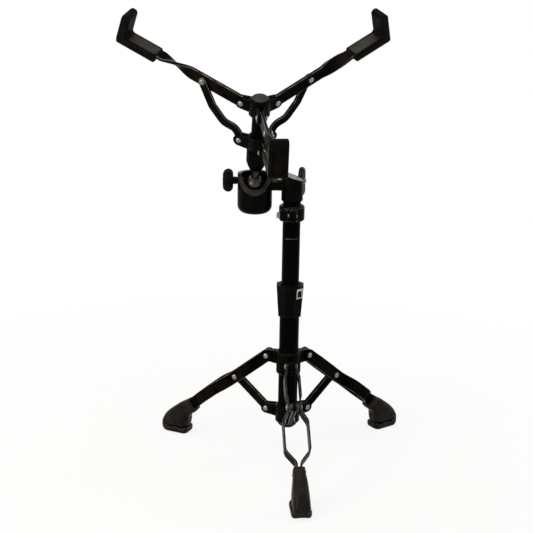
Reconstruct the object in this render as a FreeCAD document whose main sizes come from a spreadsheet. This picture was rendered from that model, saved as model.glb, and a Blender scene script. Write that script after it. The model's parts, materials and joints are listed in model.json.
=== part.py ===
import FreeCAD, Part
import Sketcher
import math
import os
import re

# Snare drum stand: a tripod on a lower tube, a sliding upper tube with a ball
# tilter, and a three-armed basket that holds the drum. Millimetres, +Z up,
# floor at zero, origin in the middle of the footprint.

V = FreeCAD.Vector
SIDES = ("front", "right", "left")
THIRD_TURN = 360 / len(SIDES)

SIZES = {
    # clearances: sliding and turning fits, fixed seats, side play, bolt tips, cuts
    "sliding_gap": 0.1,
    "seat_gap": 0.05,
    "side_gap": 0.25,
    "tip_gap": 0.3,
    "cut_overrun": 3.0,
    # tubes
    "lower_tube_diameter": 28.6,
    "lower_tube_bottom": 50.0,
    "upper_tube_diameter": 25.4,
    "upper_tube_wall": 1.5,
    "upper_tube_length": 253.0,
    "plug_rim": 4.5,
    "plug_depth": 8.0,
    "plug_tip_diameter": 19.0,
    # height clamp on the lower tube
    "collar_bottom": 220.0,
    "collar_height": 47.0,
    "collar_top_width": 39.0,
    "collar_bottom_width": 32.5,
    "collar_boss_reach": 25.0,
    "bushing_diameter": 32.5,
    "bushing_height": 12.0,
    "bushing_rise": 1.6,
    "bushing_chamfer": 1.0,
    "plate_width": 11.0,
    "plate_height": 14.5,
    "plate_thickness": 0.8,
    "plate_drop": 3.0,
    # wing bolts
    "bolt_diameter": 6.0,
    "boss_diameter": 15.0,
    "wing_span": 42.0,
    "wing_thickness": 5.0,
    "wing_root": 5.0,
    "wing_foot": 1.5,
    "wing_sweep": 4.5,
    "wing_reach": 14.0,
    "wing_valley": 13.5,
    "wing_tip_inset": 6.0,
    "wing_tip_radius": 7.0,
    "wing_hub_diameter": 13.0,
    "wing_hub_crown": 10.0,
    "wing_hub_length": 12.0,
    # rivets
    "rivet_diameter": 5.0,
    "rivet_head_diameter": 8.4,
    "rivet_head_height": 1.9,
    # tripod: three legs that turn on a bracket and on a sliding hub
    "legs_turn_angle": 6.1,
    "leg_angle": 50.3,
    "leg_pivot_radius": 33.4,
    "leg_link_length": 65.7,
    "bracket_pivot_height": 68.7,
    "bracket_ring_diameter": 36.0,
    "bracket_ring_bottom": 52.0,
    "bracket_ring_height": 29.0,
    "bracket_ring_chamfer": 3.0,
    "bracket_ear_radius": 7.5,
    "bracket_ear_thickness": 2.6,
    "bracket_ear_root": 11.0,
    "leg_hub_diameter": 36.0,
    "leg_hub_height": 35.0,
    "leg_hub_drop": 22.5,
    "leg_hub_chamfer": 2.0,
    "leg_hub_boss_reach": 25.0,
    "leg_hub_bolt_drop": 6.0,
    "tongue_radius": 8.5,
    "tongue_root": 11.5,
    "leg_strut_width": 13.0,
    "leg_strut_thickness": 6.0,
    "spacer_diameter": 11.0,
    # leg bars: flat strips, bent apart along the leg
    "bar_width": 18.0,
    "bar_thickness": 2.6,
    "bar_hub_offset": 6.6,
    "bar_upper_offset": 10.5,
    "bar_middle_offset": 8.7,
    "bar_lower_offset": 17.5,
    "bar_foot_offset": 3.0,
    "bar_hub_land": 9.0,
    "bar_upper_start": 20.0,
    "bar_upper_setback": 15.0,
    "bar_middle_land": 8.0,
    "bar_lower_start": 25.0,
    "bar_lower_tail": 103.0,
    "bar_foot_land": 85.0,
    "bar_tail": 65.0,
    "bar_bend_radius": 5.0,
    # rubber feet, set back from the point where the leg's line meets the floor
    "foot_sleeve_length": 81.0,
    "foot_sleeve_width": 21.6,
    "foot_sleeve_thickness": 16.5,
    "foot_top_straight": 18.0,
    "foot_under_straight": 13.0,
    "foot_width": 25.5,
    "foot_cap_setback": 10.8,
    "foot_cap_height": 24.0,
    "foot_toe_radius": 14.0,
    "toe_front_setback": 6.0,
    "toe_corner_radius": 10.0,
    "sole_front_setback": 18.3,
    "sole_back_setback": 51.5,
    "sole_width": 29.0,
    "sole_band_height": 10.0,
    "heel_setback": 54.0,
    "heel_height": 9.0,
    "ankle_setback": 51.5,
    "ankle_height": 20.0,
    "foot_edge_radius": 5.0,
    # memory lock on the upper tube
    "lock_gap": 3.5,
    "lock_height": 22.0,
    "lock_diameter": 36.5,
    "lock_chamfer": 2.0,
    "lock_slit": 2.2,
    "lock_lug_reach": 23.0,
    "lock_lug_width": 24.0,
    "lock_lug_height": 15.0,
    "lock_screw_diameter": 5.0,
    "lock_screw_head": 7.5,
    "lock_screw_head_height": 5.0,
    "lock_turn_angle": 258.0,
    # tilter post
    "post_drop": 26.0,
    "post_diameter": 30.6,
    "post_height": 43.5,
    "post_top_fall": 11.0,
    "post_chamfer": 4.0,
    "post_socket_depth": 10.0,
    "post_boss_reach": 21.0,
    "post_bolt_boss_reach": 18.5,
    "post_bolt_angle": 60.0,
    "tilter_height": 414.0,
    # ball cup, its stem, seat and knob
    "cup_reach": 52.8,
    "cup_diameter": 49.0,
    "cup_depth": 41.0,
    "cup_rise": 15.6,
    "cup_edge_radius": 11.0,
    "cup_bore": 38.0,
    "cup_floor_drop": 17.0,
    "cup_lip_drop": 12.0,
    "cup_mouth_back": 3.0,
    "neck_diameter": 18.0,
    "stem_diameter": 10.0,
    "stem_overreach": 4.0,
    "stud_diameter": 8.0,
    "stud_collar_diameter": 10.6,
    "knob_rise": 4.6,
    "knob_diameter": 33.0,
    "knob_thickness": 14.5,
    "knob_standoff": 30.6,
    "knob_edge_radius": 3.0,
    "knob_flute_diameter": 9.0,
    "knob_flute_depth": 2.2,
    "ball_diameter": 26.0,
    "ball_gap": 0.2,
    "ball_stem_diameter": 11.0,
    "ball_stem_length": 72.0,
    # basket: column, hub, slider and nut, measured along the column from the ball
    "basket_tilt_angle": 25.0,
    "basket_lean_angle": 2.9,
    "basket_turn_angle": 7.0,
    "column_diameter": 19.0,
    "column_bottom": 28.0,
    "arm_pivot_height": 130.0,
    "arm_pivot_radius": 25.8,
    "basket_hub_diameter": 29.0,
    "basket_hub_height": 27.0,
    "basket_hub_chamfer": 3.0,
    "basket_ear_radius": 7.4,
    "basket_ear_root": 10.5,
    "basket_ear_thickness": 3.6,
    "hub_cap_height": 2.0,
    "hub_cap_edge": 1.2,
    "slider_drop": 57.9,
    "slider_pivot_radius": 24.6,
    "slider_diameter": 25.6,
    "slider_height": 24.0,
    "slider_chamfer": 1.5,
    "slider_ear_radius": 8.2,
    "slider_ear_root": 10.5,
    "slider_ear_thickness": 2.6,
    "nut_diameter": 28.4,
    "nut_foot_diameter": 23.0,
    "nut_height": 28.0,
    "nut_taper_height": 9.0,
    "nut_flute_diameter": 5.0,
    "nut_flute_depth": 1.0,
    # arms: flat bars with a quarter twist, and their struts
    "arm_angle": 15.4,
    "arm_link_length": 59.9,
    "arm_width": 18.4,
    "arm_thickness": 4.5,
    "twist_start": 80.0,
    "twist_end": 124.0,
    "arm_length": 186.0,
    "basket_strut_width": 12.0,
    "basket_strut_thickness": 4.0,
    "basket_strut_bend_radius": 9.0,
    # rubber grips
    "grip_start": 131.0,
    "grip_reach": 190.5,
    "grip_width": 22.0,
    "grip_drop": 8.8,
    "grip_base_thickness": 12.4,
    "grip_height": 48.0,
    "grip_wall": 11.0,
    "grip_bevel": 3.5,
    "grip_inner_radius": 4.0,
    "grip_edge_radius": 1.6,
}

# shares of the distance between a basket strut's two pivots: along it, and out from it
STRUT_BEND_SHARES = ((0.155, -0.06), (0.33, 0.075), (0.62, 0.09))
BOLT_HEIGHT_SHARE = 0.45
SEAT_RIM_SHARE = 0.5
TWIST_SHARES = (0.0, 0.25, 0.5, 0.75, 1.0)
KNOB_FLUTES = 8
NUT_FLUTES = 16
SAME_PLACE = 1e-3
SAME_WAY = 1e-6

# places that several pieces share, as sums of the sizes above
BUSHING_FLOOR = "(collar_bottom + collar_height + bushing_rise - bushing_height)"
LOWER_BORE = "(upper_tube_diameter + 2 * sliding_gap)"
POST_BOTTOM = "(tilter_height - post_drop)"
LOCK_MIDDLE = f"({POST_BOTTOM} - lock_gap - lock_height / 2)"
ON_LOWER_TUBE = "(lower_tube_diameter + 2 * seat_gap)"
BOLT_HOLE = "(bolt_diameter + 2 * sliding_gap)"
PIVOT_HOLE = "(rivet_diameter + 2 * sliding_gap)"
HUB_PIVOT = "(bracket_pivot_height + 2 * leg_link_length * cos(leg_angle))"
LEG_LENGTH = f"({HUB_PIVOT} / cos(leg_angle))"
FLOOR_REACH = f"(leg_pivot_radius + {HUB_PIVOT} * tan(leg_angle))"
COLLAR_BOLT = f"(collar_height * {BOLT_HEIGHT_SHARE})"
STRUT_SIDE = "(arm_thickness / 2 + side_gap + basket_strut_thickness / 2)"
STRUT_RUN = "(arm_pivot_radius + arm_link_length * cos(arm_angle) - slider_pivot_radius)"
STRUT_RISE = "(arm_link_length * sin(arm_angle) + slider_drop)"
STRUT_SPAN = f"sqrt({STRUT_RUN} ^ 2 + {STRUT_RISE} ^ 2)"

doc = FreeCAD.newDocument("snare_drum_stand")
sheet = doc.addObject("Spreadsheet::Sheet", "Sizes")
for row, (name, number) in enumerate(SIZES.items(), start=1):
    sheet.set(f"A{row}", name)
    sheet.set(f"B{row}", str(number))
    sheet.setAlias(f"B{row}", name)
doc.recompute()

pieces = []


def bound(expression):
    """An expression in which each named size points at its cell of the sheet."""
    return re.sub(r"[a-z]+(_[a-z]+)+", lambda name: "Sizes." + name.group(), expression)


def size(expression):
    """The length or angle that an expression of named sizes comes to."""
    return float(sheet.evalExpression(bound(expression)))


def less(expression):
    """The expression with its sign turned."""
    return f"-({expression})"


# Sketches, with every point bound to the sheet


def new_body(label):
    body = doc.addObject("PartDesign::Body", label)
    body.Label = label
    return body


def origin_feature(body, role):
    return next(f for f in body.Origin.OriginFeatures if f.Role == role)


def new_sketch(body, plane="XY_Plane", offset="0", turn=None):
    """An empty sketch on a plane of the body, moved along the plane's normal."""
    sketch = body.newObject("Sketcher::SketchObject", "sketch")
    sketch.AttachmentSupport = [(origin_feature(body, plane), "")]
    sketch.MapMode = "FlatFace"
    if turn is not None:
        sketch.AttachmentOffset = FreeCAD.Placement(V(), turn)
    sketch.setExpression("AttachmentOffset.Base.z", bound(offset))
    return sketch


def arc_between(start, end, radius, to_left):
    """The shorter arc from start to end, with its centre to the left or right."""
    chord = end - start
    rise = math.sqrt(max(radius ** 2 - chord.Length ** 2 / 4, 0))
    across = V(-chord.y, chord.x, 0).normalize()
    centre = (start + end) / 2 + across * (rise if to_left else -rise)
    angles = [math.atan2(p.y - centre.y, p.x - centre.x) for p in (start, end)]
    if not to_left:
        angles.reverse()
    return Part.ArcOfCircle(Part.Circle(centre, V(0, 0, 1), radius), *angles)


def draw(sketch, points):
    """A closed outline. A point is (x, y), or (x, y, radius, side) before an arc."""
    places = [V(size(point[0]), size(point[1]), 0) for point in points]
    first = sketch.GeometryCount
    count = len(points)
    shapes, rules, cells = [], [], {}
    for here, point in enumerate(points):
        start, end = places[here], places[(here + 1) % count]
        if len(point) == 2:
            shapes.append(Part.LineSegment(start, end))
        else:
            shapes.append(arc_between(start, end, size(point[2]), point[3] == "left"))
    sketch.addGeometry(shapes)

    def ends(here):
        backward = len(points[here]) > 2 and points[here][3] == "right"
        return (2, 1) if backward else (1, 2)

    for here in range(count):
        after = (here + 1) % count
        rules.append(Sketcher.Constraint(
            "Coincident", first + here, ends(here)[1], first + after, ends(after)[0]))
    for here, point in enumerate(points):
        for way, place, expression in (
                ("DistanceX", places[here].x, point[0]), ("DistanceY", places[here].y, point[1])):
            cells[len(rules)] = expression
            rules.append(Sketcher.Constraint(way, -1, 1, first + here, ends(here)[0], place))
        if len(point) > 2:
            cells[len(rules)] = point[2]
            rules.append(Sketcher.Constraint("Radius", first + here, size(point[2])))
    bind(sketch, rules, cells)


def draw_circle(sketch, diameter, x="0", y="0"):
    place = V(size(x), size(y), 0)
    here = sketch.GeometryCount
    sketch.addGeometry(Part.Circle(place, V(0, 0, 1), size(diameter) / 2))
    rules = [
        Sketcher.Constraint("DistanceX", -1, 1, here, 3, place.x),
        Sketcher.Constraint("DistanceY", -1, 1, here, 3, place.y),
        Sketcher.Constraint("Diameter", here, size(diameter)),
    ]
    bind(sketch, rules, {0: x, 1: y, 2: diameter})


def bind(sketch, rules, cells):
    first = sketch.ConstraintCount
    sketch.addConstraint(rules)
    for here, expression in cells.items():
        sketch.setExpression(f"Constraints[{first + here}]", bound(expression))


# Features of a body


def spin(body, points):
    """A turned form: an outline of (radius, height) points about the Z axis."""
    sketch = new_sketch(body, "XZ_Plane")
    draw(sketch, points)
    turned = body.newObject("PartDesign::Revolution", "turned")
    turned.Profile = sketch
    turned.ReferenceAxis = (sketch, ["V_Axis"])
    turned.Angle = 360
    return turned


def pad(body, sketch, length, both=True, backward=False):
    padded = body.newObject("PartDesign::Pad", "pad")
    padded.Profile = sketch
    padded.setExpression("Length", bound(length))
    padded.Midplane = both
    padded.Reversed = backward
    return padded


def cut(body, sketch, length=None, both=True, backward=False):
    """A pocket: through everything both ways, or as deep as the length says."""
    pocket = body.newObject("PartDesign::Pocket", "cut")
    pocket.Profile = sketch
    if length is None:
        pocket.Type = "ThroughAll"
    else:
        pocket.setExpression("Length", bound(length))
    pocket.Midplane = both
    pocket.Reversed = backward
    return pocket


def drill(body, diameter, plane="XY_Plane", x="0", y="0", **how):
    sketch = new_sketch(body, plane, how.pop("offset", "0"), how.pop("turn", None))
    draw_circle(sketch, diameter, x, y)
    return cut(body, sketch, **how)


def boss(body, diameter, length, plane, x="0", y="0", backward=False, turn=None):
    sketch = new_sketch(body, plane, turn=turn)
    draw_circle(sketch, diameter, x, y)
    return pad(body, sketch, length, both=False, backward=backward)


def around(body, features, count=len(SIDES)):
    """Copies of features, evenly about the Z axis."""
    pattern = body.newObject("PartDesign::PolarPattern", "around")
    pattern.Originals = features
    pattern.Axis = (origin_feature(body, "Z_Axis"), [""])
    pattern.Angle = 360
    pattern.Occurrences = count
    body.Tip = pattern
    return pattern


def round_edges(body, radius, chosen):
    """A fillet on those edges of the body that the test picks."""
    doc.recompute()
    base = body.Tip
    names = [f"Edge{n}" for n, edge in enumerate(base.Shape.Edges, start=1) if chosen(edge)]
    fillet = body.newObject("PartDesign::Fillet", "round")
    fillet.Base = (base, names)
    fillet.setExpression("Radius", bound(radius))


def runs_along(edge, axis):
    """Whether an edge is a straight line along an axis."""
    if edge.Curve.TypeId != "Part::GeomLine":
        return False
    return edge.Curve.Direction.cross(axis).Length < SAME_WAY


# Places: each sub-part is made about its own origin and then put in the stand


def turn_about(axis, angle):
    return FreeCAD.Placement(V(), FreeCAD.Rotation(axis, angle))


def shift(x="0", y="0", z="0"):
    return FreeCAD.Placement(V(size(x), size(y), size(z)), FreeCAD.Rotation())


def chain(*steps):
    place = FreeCAD.Placement()
    for step in steps:
        place = place.multiply(step)
    return place


X_AXIS, Y_AXIS, Z_AXIS = V(1, 0, 0), V(0, 1, 0), V(0, 0, 1)
QUARTER = 90
HALF = 180
Z_TO_Y = turn_about(X_AXIS, -QUARTER)
Z_TO_X = turn_about(Y_AXIS, QUARTER)


def sector(start_angle, number):
    """The frame of one of three: X points out from the axis, first to the front."""
    return turn_about(Z_AXIS, size(start_angle) + number * THIRD_TURN - QUARTER)


def leg_frame(number):
    return sector("legs_turn_angle", number)


BEHIND_LEGS = chain(leg_frame(0), turn_about(Z_AXIS, HALF))
BALL_PLACE = shift(less("cup_reach"), "0", "tilter_height")
KNOB_PLACE = chain(BALL_PLACE, shift(z="knob_rise"))
BASKET = chain(BALL_PLACE, turn_about(X_AXIS, size("basket_tilt_angle")),
               turn_about(Y_AXIS, size("basket_lean_angle")))


def basket_sector(number):
    return chain(BASKET, sector("basket_turn_angle", number), shift(z="arm_pivot_height"))


def arm_frame(number):
    """X runs out along the arm from its pivot, Y across it, Z up."""
    return chain(basket_sector(number), shift(x="arm_pivot_radius"),
                 turn_about(Y_AXIS, -size("arm_angle")))


def put(piece, *steps):
    """Sets a finished sub-part in its place."""
    piece.Placement = chain(*steps)
    pieces.append(piece)


def group(label, members):
    """Loose members that share one node."""
    node = doc.addObject("Part::Compound", label)
    node.Label = label
    node.Links = members
    pieces.append(node)


# Fasteners


def rivet(label, grip):
    """A shank of the gripped length with a domed head at each end, along Z."""
    head = "rivet_head_diameter / 2"
    dome = f"(({head}) ^ 2 + rivet_head_height ^ 2) / (2 * rivet_head_height)"
    top = f"({grip}) / 2"
    body = new_body(label)
    spin(body, [
        ("0", f"-{top} - rivet_head_height", dome, "left"),
        (head, f"-{top}"),
        ("rivet_diameter / 2", f"-{top}"),
        ("rivet_diameter / 2", top),
        (head, top, dome, "left"),
        ("0", f"{top} + rivet_head_height"),
    ])
    return body


def wing_bolt(label, depth):
    """A bolt along Z with its wings above the face it clamps, at zero height."""
    body = new_body(label)
    foot = "tip_gap"
    spin(body, [
        ("0", less(depth)),
        ("bolt_diameter / 2", less(depth)),
        ("bolt_diameter / 2", foot),
        ("wing_hub_diameter / 2", foot),
        ("wing_hub_crown / 2", "tip_gap + wing_hub_length"),
        ("0", "tip_gap + wing_hub_length"),
    ])
    low = "tip_gap + wing_foot"
    half = "wing_span / 2"
    right = [
        ("wing_root", low),
        (half, f"{low} + wing_sweep", "wing_tip_radius", "left"),
        (f"{half} - wing_tip_inset", "tip_gap + wing_reach"),
        ("wing_root", "tip_gap + wing_valley"),
    ]
    left = [
        (less("wing_root"), "tip_gap + wing_valley"),
        (f"wing_tip_inset - {half}", "tip_gap + wing_reach", "wing_tip_radius", "left"),
        (less(half), f"{low} + wing_sweep"),
        (less("wing_root"), low),
    ]
    sketch = new_sketch(body, "XZ_Plane")
    draw(sketch, right + left)
    pad(body, sketch, "wing_thickness")
    return body


# Lower tube, its plug and the height clamp


def lower_tube():
    body = new_body("lower_tube")
    inner, outer = f"{LOWER_BORE} / 2", "lower_tube_diameter / 2"
    spin(body, [
        (inner, "lower_tube_bottom"), (outer, "lower_tube_bottom"),
        (outer, BUSHING_FLOOR), (inner, BUSHING_FLOOR)])
    drill(body, BOLT_HOLE, "XZ_Plane", y=f"collar_bottom + {COLLAR_BOLT}",
          length="lower_tube_diameter", both=False)
    put(body)


def tube_end_plug():
    body = new_body("tube_end_plug")
    spin(body, [
        ("0", less("plug_rim")), ("plug_tip_diameter / 2", less("plug_rim")),
        ("lower_tube_diameter / 2", "0"), (f"{LOWER_BORE} / 2 - seat_gap", "0"),
        (f"{LOWER_BORE} / 2 - seat_gap", "plug_depth"), ("0", "plug_depth")])
    put(body, shift(z="lower_tube_bottom"))


def octagon(sketch, width):
    """A regular octagon with flats across the sketch's axes."""
    half, corner = f"({width}) / 2", f"({width}) / 2 * tan({QUARTER / 4})"
    draw(sketch, [
        (half, less(corner)), (half, corner), (corner, half), (less(corner), half),
        (less(half), corner), (less(half), less(corner)),
        (less(corner), less(half)), (corner, less(half))])


def tube_collar():
    body = new_body("tube_collar")
    low = new_sketch(body)
    octagon(low, "collar_bottom_width")
    high = new_sketch(body, offset="collar_height")
    octagon(high, "collar_top_width")
    loft = body.newObject("PartDesign::AdditiveLoft", "loft")
    loft.Profile = low
    loft.Sections = [high]
    boss(body, "boss_diameter", "collar_boss_reach", "XZ_Plane", y=COLLAR_BOLT, backward=True)
    drill(body, ON_LOWER_TUBE)
    drill(body, "bushing_diameter + 2 * seat_gap", offset=f"{BUSHING_FLOOR} - collar_bottom",
          length="bushing_height", both=False, backward=True)
    drill(body, BOLT_HOLE, "XZ_Plane", y=COLLAR_BOLT,
          length="collar_boss_reach + cut_overrun", both=False)
    put(body, shift(z="collar_bottom"))


def collar_bushing():
    body = new_body("collar_bushing")
    inner, outer = f"{LOWER_BORE} / 2", "bushing_diameter / 2"
    spin(body, [
        (inner, "0"), (outer, "0"), (outer, "bushing_height - bushing_chamfer"),
        (f"{outer} - bushing_chamfer", "bushing_height"), (inner, "bushing_height")])
    put(body, shift(z=BUSHING_FLOOR))


def collar_plate():
    """A bare plate on the facet between the front and the right."""
    body = new_body("collar_plate")
    half = "plate_width / 2"
    sketch = new_sketch(body, "XZ_Plane")
    draw(sketch, [
        (less(half), less("plate_height")), (half, less("plate_height")),
        (half, "0"), (less(half), "0")])
    pad(body, sketch, "plate_thickness", both=False)
    flare = math.degrees(math.atan2(
        size("collar_top_width / 2 - collar_bottom_width / 2"), size("collar_height")))
    put(body, turn_about(Z_AXIS, QUARTER / 2),
        shift(y=less("collar_top_width / 2"), z="collar_bottom + collar_height"),
        turn_about(X_AXIS, flare), shift(y=less("seat_gap"), z=less("plate_drop")))


def height_wing_bolt():
    tip = "upper_tube_diameter / 2 + tip_gap"
    body = wing_bolt("height_wing_bolt", f"collar_boss_reach - ({tip})")
    put(body, shift(z=f"collar_bottom + {COLLAR_BOLT}", y="collar_boss_reach"), Z_TO_Y,
        turn_about(Z_AXIS, QUARTER))


# Tripod


def ring_with_bore(body, diameter, bottom, top, chamfer, bore):
    """A chamfered ring about Z, bored through."""
    outer = f"({diameter}) / 2"
    spin(body, [
        ("0", bottom), (f"{outer} - {chamfer}", bottom), (outer, f"{bottom} + {chamfer}"),
        (outer, f"{top} - {chamfer}"), (f"{outer} - {chamfer}", top), ("0", top)])
    drill(body, bore)


def ear_outline(sketch, reach, radius, root):
    """A tongue from the axis out to a pivot, tapered, with a round end."""
    draw(sketch, [
        ("0", less(root)), (reach, less(radius), radius, "left"),
        (f"{reach} + {radius}", "0", radius, "left"), (reach, radius), ("0", root)])


def slot_outline(sketch, start, end, half):
    """A slot between two radii, wider than any ear is tall."""
    draw(sketch, [(start, less(half)), (end, less(half)), (end, half), (start, half)])


def lower_bracket():
    body = new_body("lower_bracket")
    slot = "leg_strut_thickness + 2 * side_gap"
    ear = new_sketch(body, "XZ_Plane")
    ear_outline(ear, "leg_pivot_radius", "bracket_ear_radius", "bracket_ear_root")
    ears = pad(body, ear, f"{slot} + 2 * bracket_ear_thickness")
    gap = new_sketch(body, "XZ_Plane")
    slot_outline(gap, "bracket_ring_diameter / 2",
                 "leg_pivot_radius + bracket_ear_radius + cut_overrun",
                 "bracket_ear_root + cut_overrun")
    gaps = cut(body, gap, slot)
    holes = drill(body, "rivet_diameter + 2 * seat_gap", "XZ_Plane", x="leg_pivot_radius")
    around(body, [ears, gaps, holes])
    bottom = "bracket_ring_bottom - bracket_pivot_height"
    ring_with_bore(body, "bracket_ring_diameter", bottom, f"{bottom} + bracket_ring_height",
                   "bracket_ring_chamfer", ON_LOWER_TUBE)
    put(body, leg_frame(0), shift(z="bracket_pivot_height"))


def bracket_rivets():
    members = []
    for number, side in enumerate(SIDES):
        body = rivet(f"bracket_rivet_{side}",
                     "leg_strut_thickness + 2 * side_gap + 2 * bracket_ear_thickness + 2 * seat_gap")
        body.Placement = chain(leg_frame(number),
                               shift("leg_pivot_radius", "0", "bracket_pivot_height"), Z_TO_Y)
        members.append(body)
    group("bracket_rivets", members)


def leg_hub():
    body = new_body("leg_hub")
    tongue = new_sketch(body, "XZ_Plane")
    ear_outline(tongue, "leg_pivot_radius", "tongue_radius", "tongue_root")
    tongues = pad(body, tongue, "2 * (bar_hub_offset - bar_thickness / 2 - side_gap)")
    holes = drill(body, "rivet_diameter + 2 * seat_gap", "XZ_Plane", x="leg_pivot_radius")
    around(body, [tongues, holes])
    boss(body, "boss_diameter", "leg_hub_boss_reach", "YZ_Plane",
         y=less("leg_hub_bolt_drop"), backward=True)
    ring_with_bore(body, "leg_hub_diameter", less("leg_hub_drop"), "(leg_hub_height - leg_hub_drop)",
                   "leg_hub_chamfer", "lower_tube_diameter + 2 * sliding_gap")
    drill(body, BOLT_HOLE, "YZ_Plane", y=less("leg_hub_bolt_drop"),
          length="leg_hub_boss_reach + cut_overrun", both=False)
    put(body, leg_frame(0), shift(z=HUB_PIVOT))


def hub_rivets():
    members = []
    for number, side in enumerate(SIDES):
        body = rivet(f"hub_rivet_{side}", "2 * (bar_hub_offset + bar_thickness / 2 + seat_gap)")
        body.Placement = chain(leg_frame(number), shift("leg_pivot_radius", "0", HUB_PIVOT), Z_TO_Y)
        members.append(body)
    group("hub_rivets", members)


def hub_wing_bolt():
    tip = "lower_tube_diameter / 2 + tip_gap"
    body = wing_bolt("hub_wing_bolt", f"leg_hub_boss_reach - ({tip})")
    put(body, BEHIND_LEGS, shift("leg_hub_boss_reach", "0", f"{HUB_PIVOT} - leg_hub_bolt_drop"), Z_TO_X)


def leg_place(number):
    """The frame of a leg: X runs down it from the hub pivot, Y across it."""
    return chain(leg_frame(number), shift("leg_pivot_radius", "0", HUB_PIVOT),
                 turn_about(Y_AXIS, QUARTER - size("leg_angle")))


def leg_bar(label, number, side):
    """A flat strip, bent sideways: close at the hub, wide below, shut in the foot."""
    tail = f"{LEG_LENGTH} - bar_tail"
    bends = [
        ("-bar_width / 2", "bar_hub_offset"),
        ("bar_hub_land", "bar_hub_offset"),
        ("bar_upper_start", "bar_upper_offset"),
        ("leg_link_length - bar_upper_setback", "bar_upper_offset"),
        ("leg_link_length - bar_middle_land", "bar_middle_offset"),
        ("leg_link_length + bar_middle_land", "bar_middle_offset"),
        ("leg_link_length + bar_lower_start", "bar_lower_offset"),
        (f"{LEG_LENGTH} - bar_lower_tail", "bar_lower_offset"),
        (f"{LEG_LENGTH} - bar_foot_land", "bar_foot_offset"),
        (tail, "bar_foot_offset"),
    ]
    near = [(x, f"{side} * ({y} - bar_thickness / 2)") for x, y in bends]
    far = [(x, f"{side} * ({y} + bar_thickness / 2)") for x, y in bends]
    body = new_body(label)
    edge = new_sketch(body)
    draw(edge, near + far[::-1])
    pad(body, edge, "bar_width")
    first, last = size("-bar_width / 2"), size(tail)

    def is_bend(line):
        middle = line.CenterOfMass.x
        return runs_along(line, Z_AXIS) and first + SAME_PLACE < middle < last - SAME_PLACE

    round_edges(body, "bar_bend_radius", is_bend)
    half, beyond = "bar_width / 2", "bar_width / 2 + cut_overrun"
    corners = new_sketch(body, "XZ_Plane")
    draw(corners, [
        ("0", half), ("0", beyond), (less(beyond), beyond), (less(beyond), less(beyond)),
        ("0", less(beyond)), ("0", less(half), half, "right"), (less(half), "0", half, "right")])
    cut(body, corners)
    holes = new_sketch(body, "XZ_Plane")
    draw_circle(holes, PIVOT_HOLE)
    draw_circle(holes, "rivet_diameter + 2 * seat_gap", x="leg_link_length")
    cut(body, holes)
    put(body, leg_place(number))


def leg_rivet(number):
    body = rivet(f"leg_rivet_{SIDES[number]}",
                 "2 * (bar_middle_offset + bar_thickness / 2 + seat_gap)")
    put(body, leg_place(number), shift(x="leg_link_length"), Z_TO_Y)


def leg_spacers(number):
    """Two sleeves on the rivet, between the strut and the bars."""
    members = []
    start = "leg_strut_thickness / 2 + side_gap"
    end = "bar_middle_offset - bar_thickness / 2 - seat_gap"
    for facing in (1, -1):
        body = new_body(f"leg_spacer_{SIDES[number]}_{len(members)}")
        inner, outer = "rivet_diameter / 2 + seat_gap", "spacer_diameter / 2"
        spin(body, [(inner, start), (outer, start), (outer, end), (inner, end)])
        body.Placement = chain(leg_place(number), shift(x="leg_link_length"),
                               turn_about(X_AXIS, facing * QUARTER))
        members.append(body)
    group(f"leg_spacers_{SIDES[number]}", members)


def leg_strut(number):
    """A flat bar with round ends, from the bracket's pivot up to the leg's rivet."""
    body = new_body(f"leg_strut_{SIDES[number]}")
    half = "leg_strut_width / 2"
    bar = new_sketch(body, "XZ_Plane")
    draw(bar, [
        ("0", less(half)), ("leg_link_length", less(half), half, "left"),
        (f"leg_link_length + {half}", "0", half, "left"), ("leg_link_length", half),
        ("0", half, half, "left"), (less(half), "0", half, "left")])
    pad(body, bar, "leg_strut_thickness")
    holes = new_sketch(body, "XZ_Plane")
    draw_circle(holes, PIVOT_HOLE)
    draw_circle(holes, PIVOT_HOLE, x="leg_link_length")
    cut(body, holes)
    put(body, leg_frame(number), shift("leg_pivot_radius", "0", "bracket_pivot_height"),
        turn_about(Y_AXIS, size("leg_angle") - QUARTER))


def on_leg(along, across):
    """A place seen from the side: up the leg's line from the floor, and out from it."""
    return (f"({across}) * cos(leg_angle) - ({along}) * sin(leg_angle)",
            f"({across}) * sin(leg_angle) + ({along}) * cos(leg_angle)")


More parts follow.
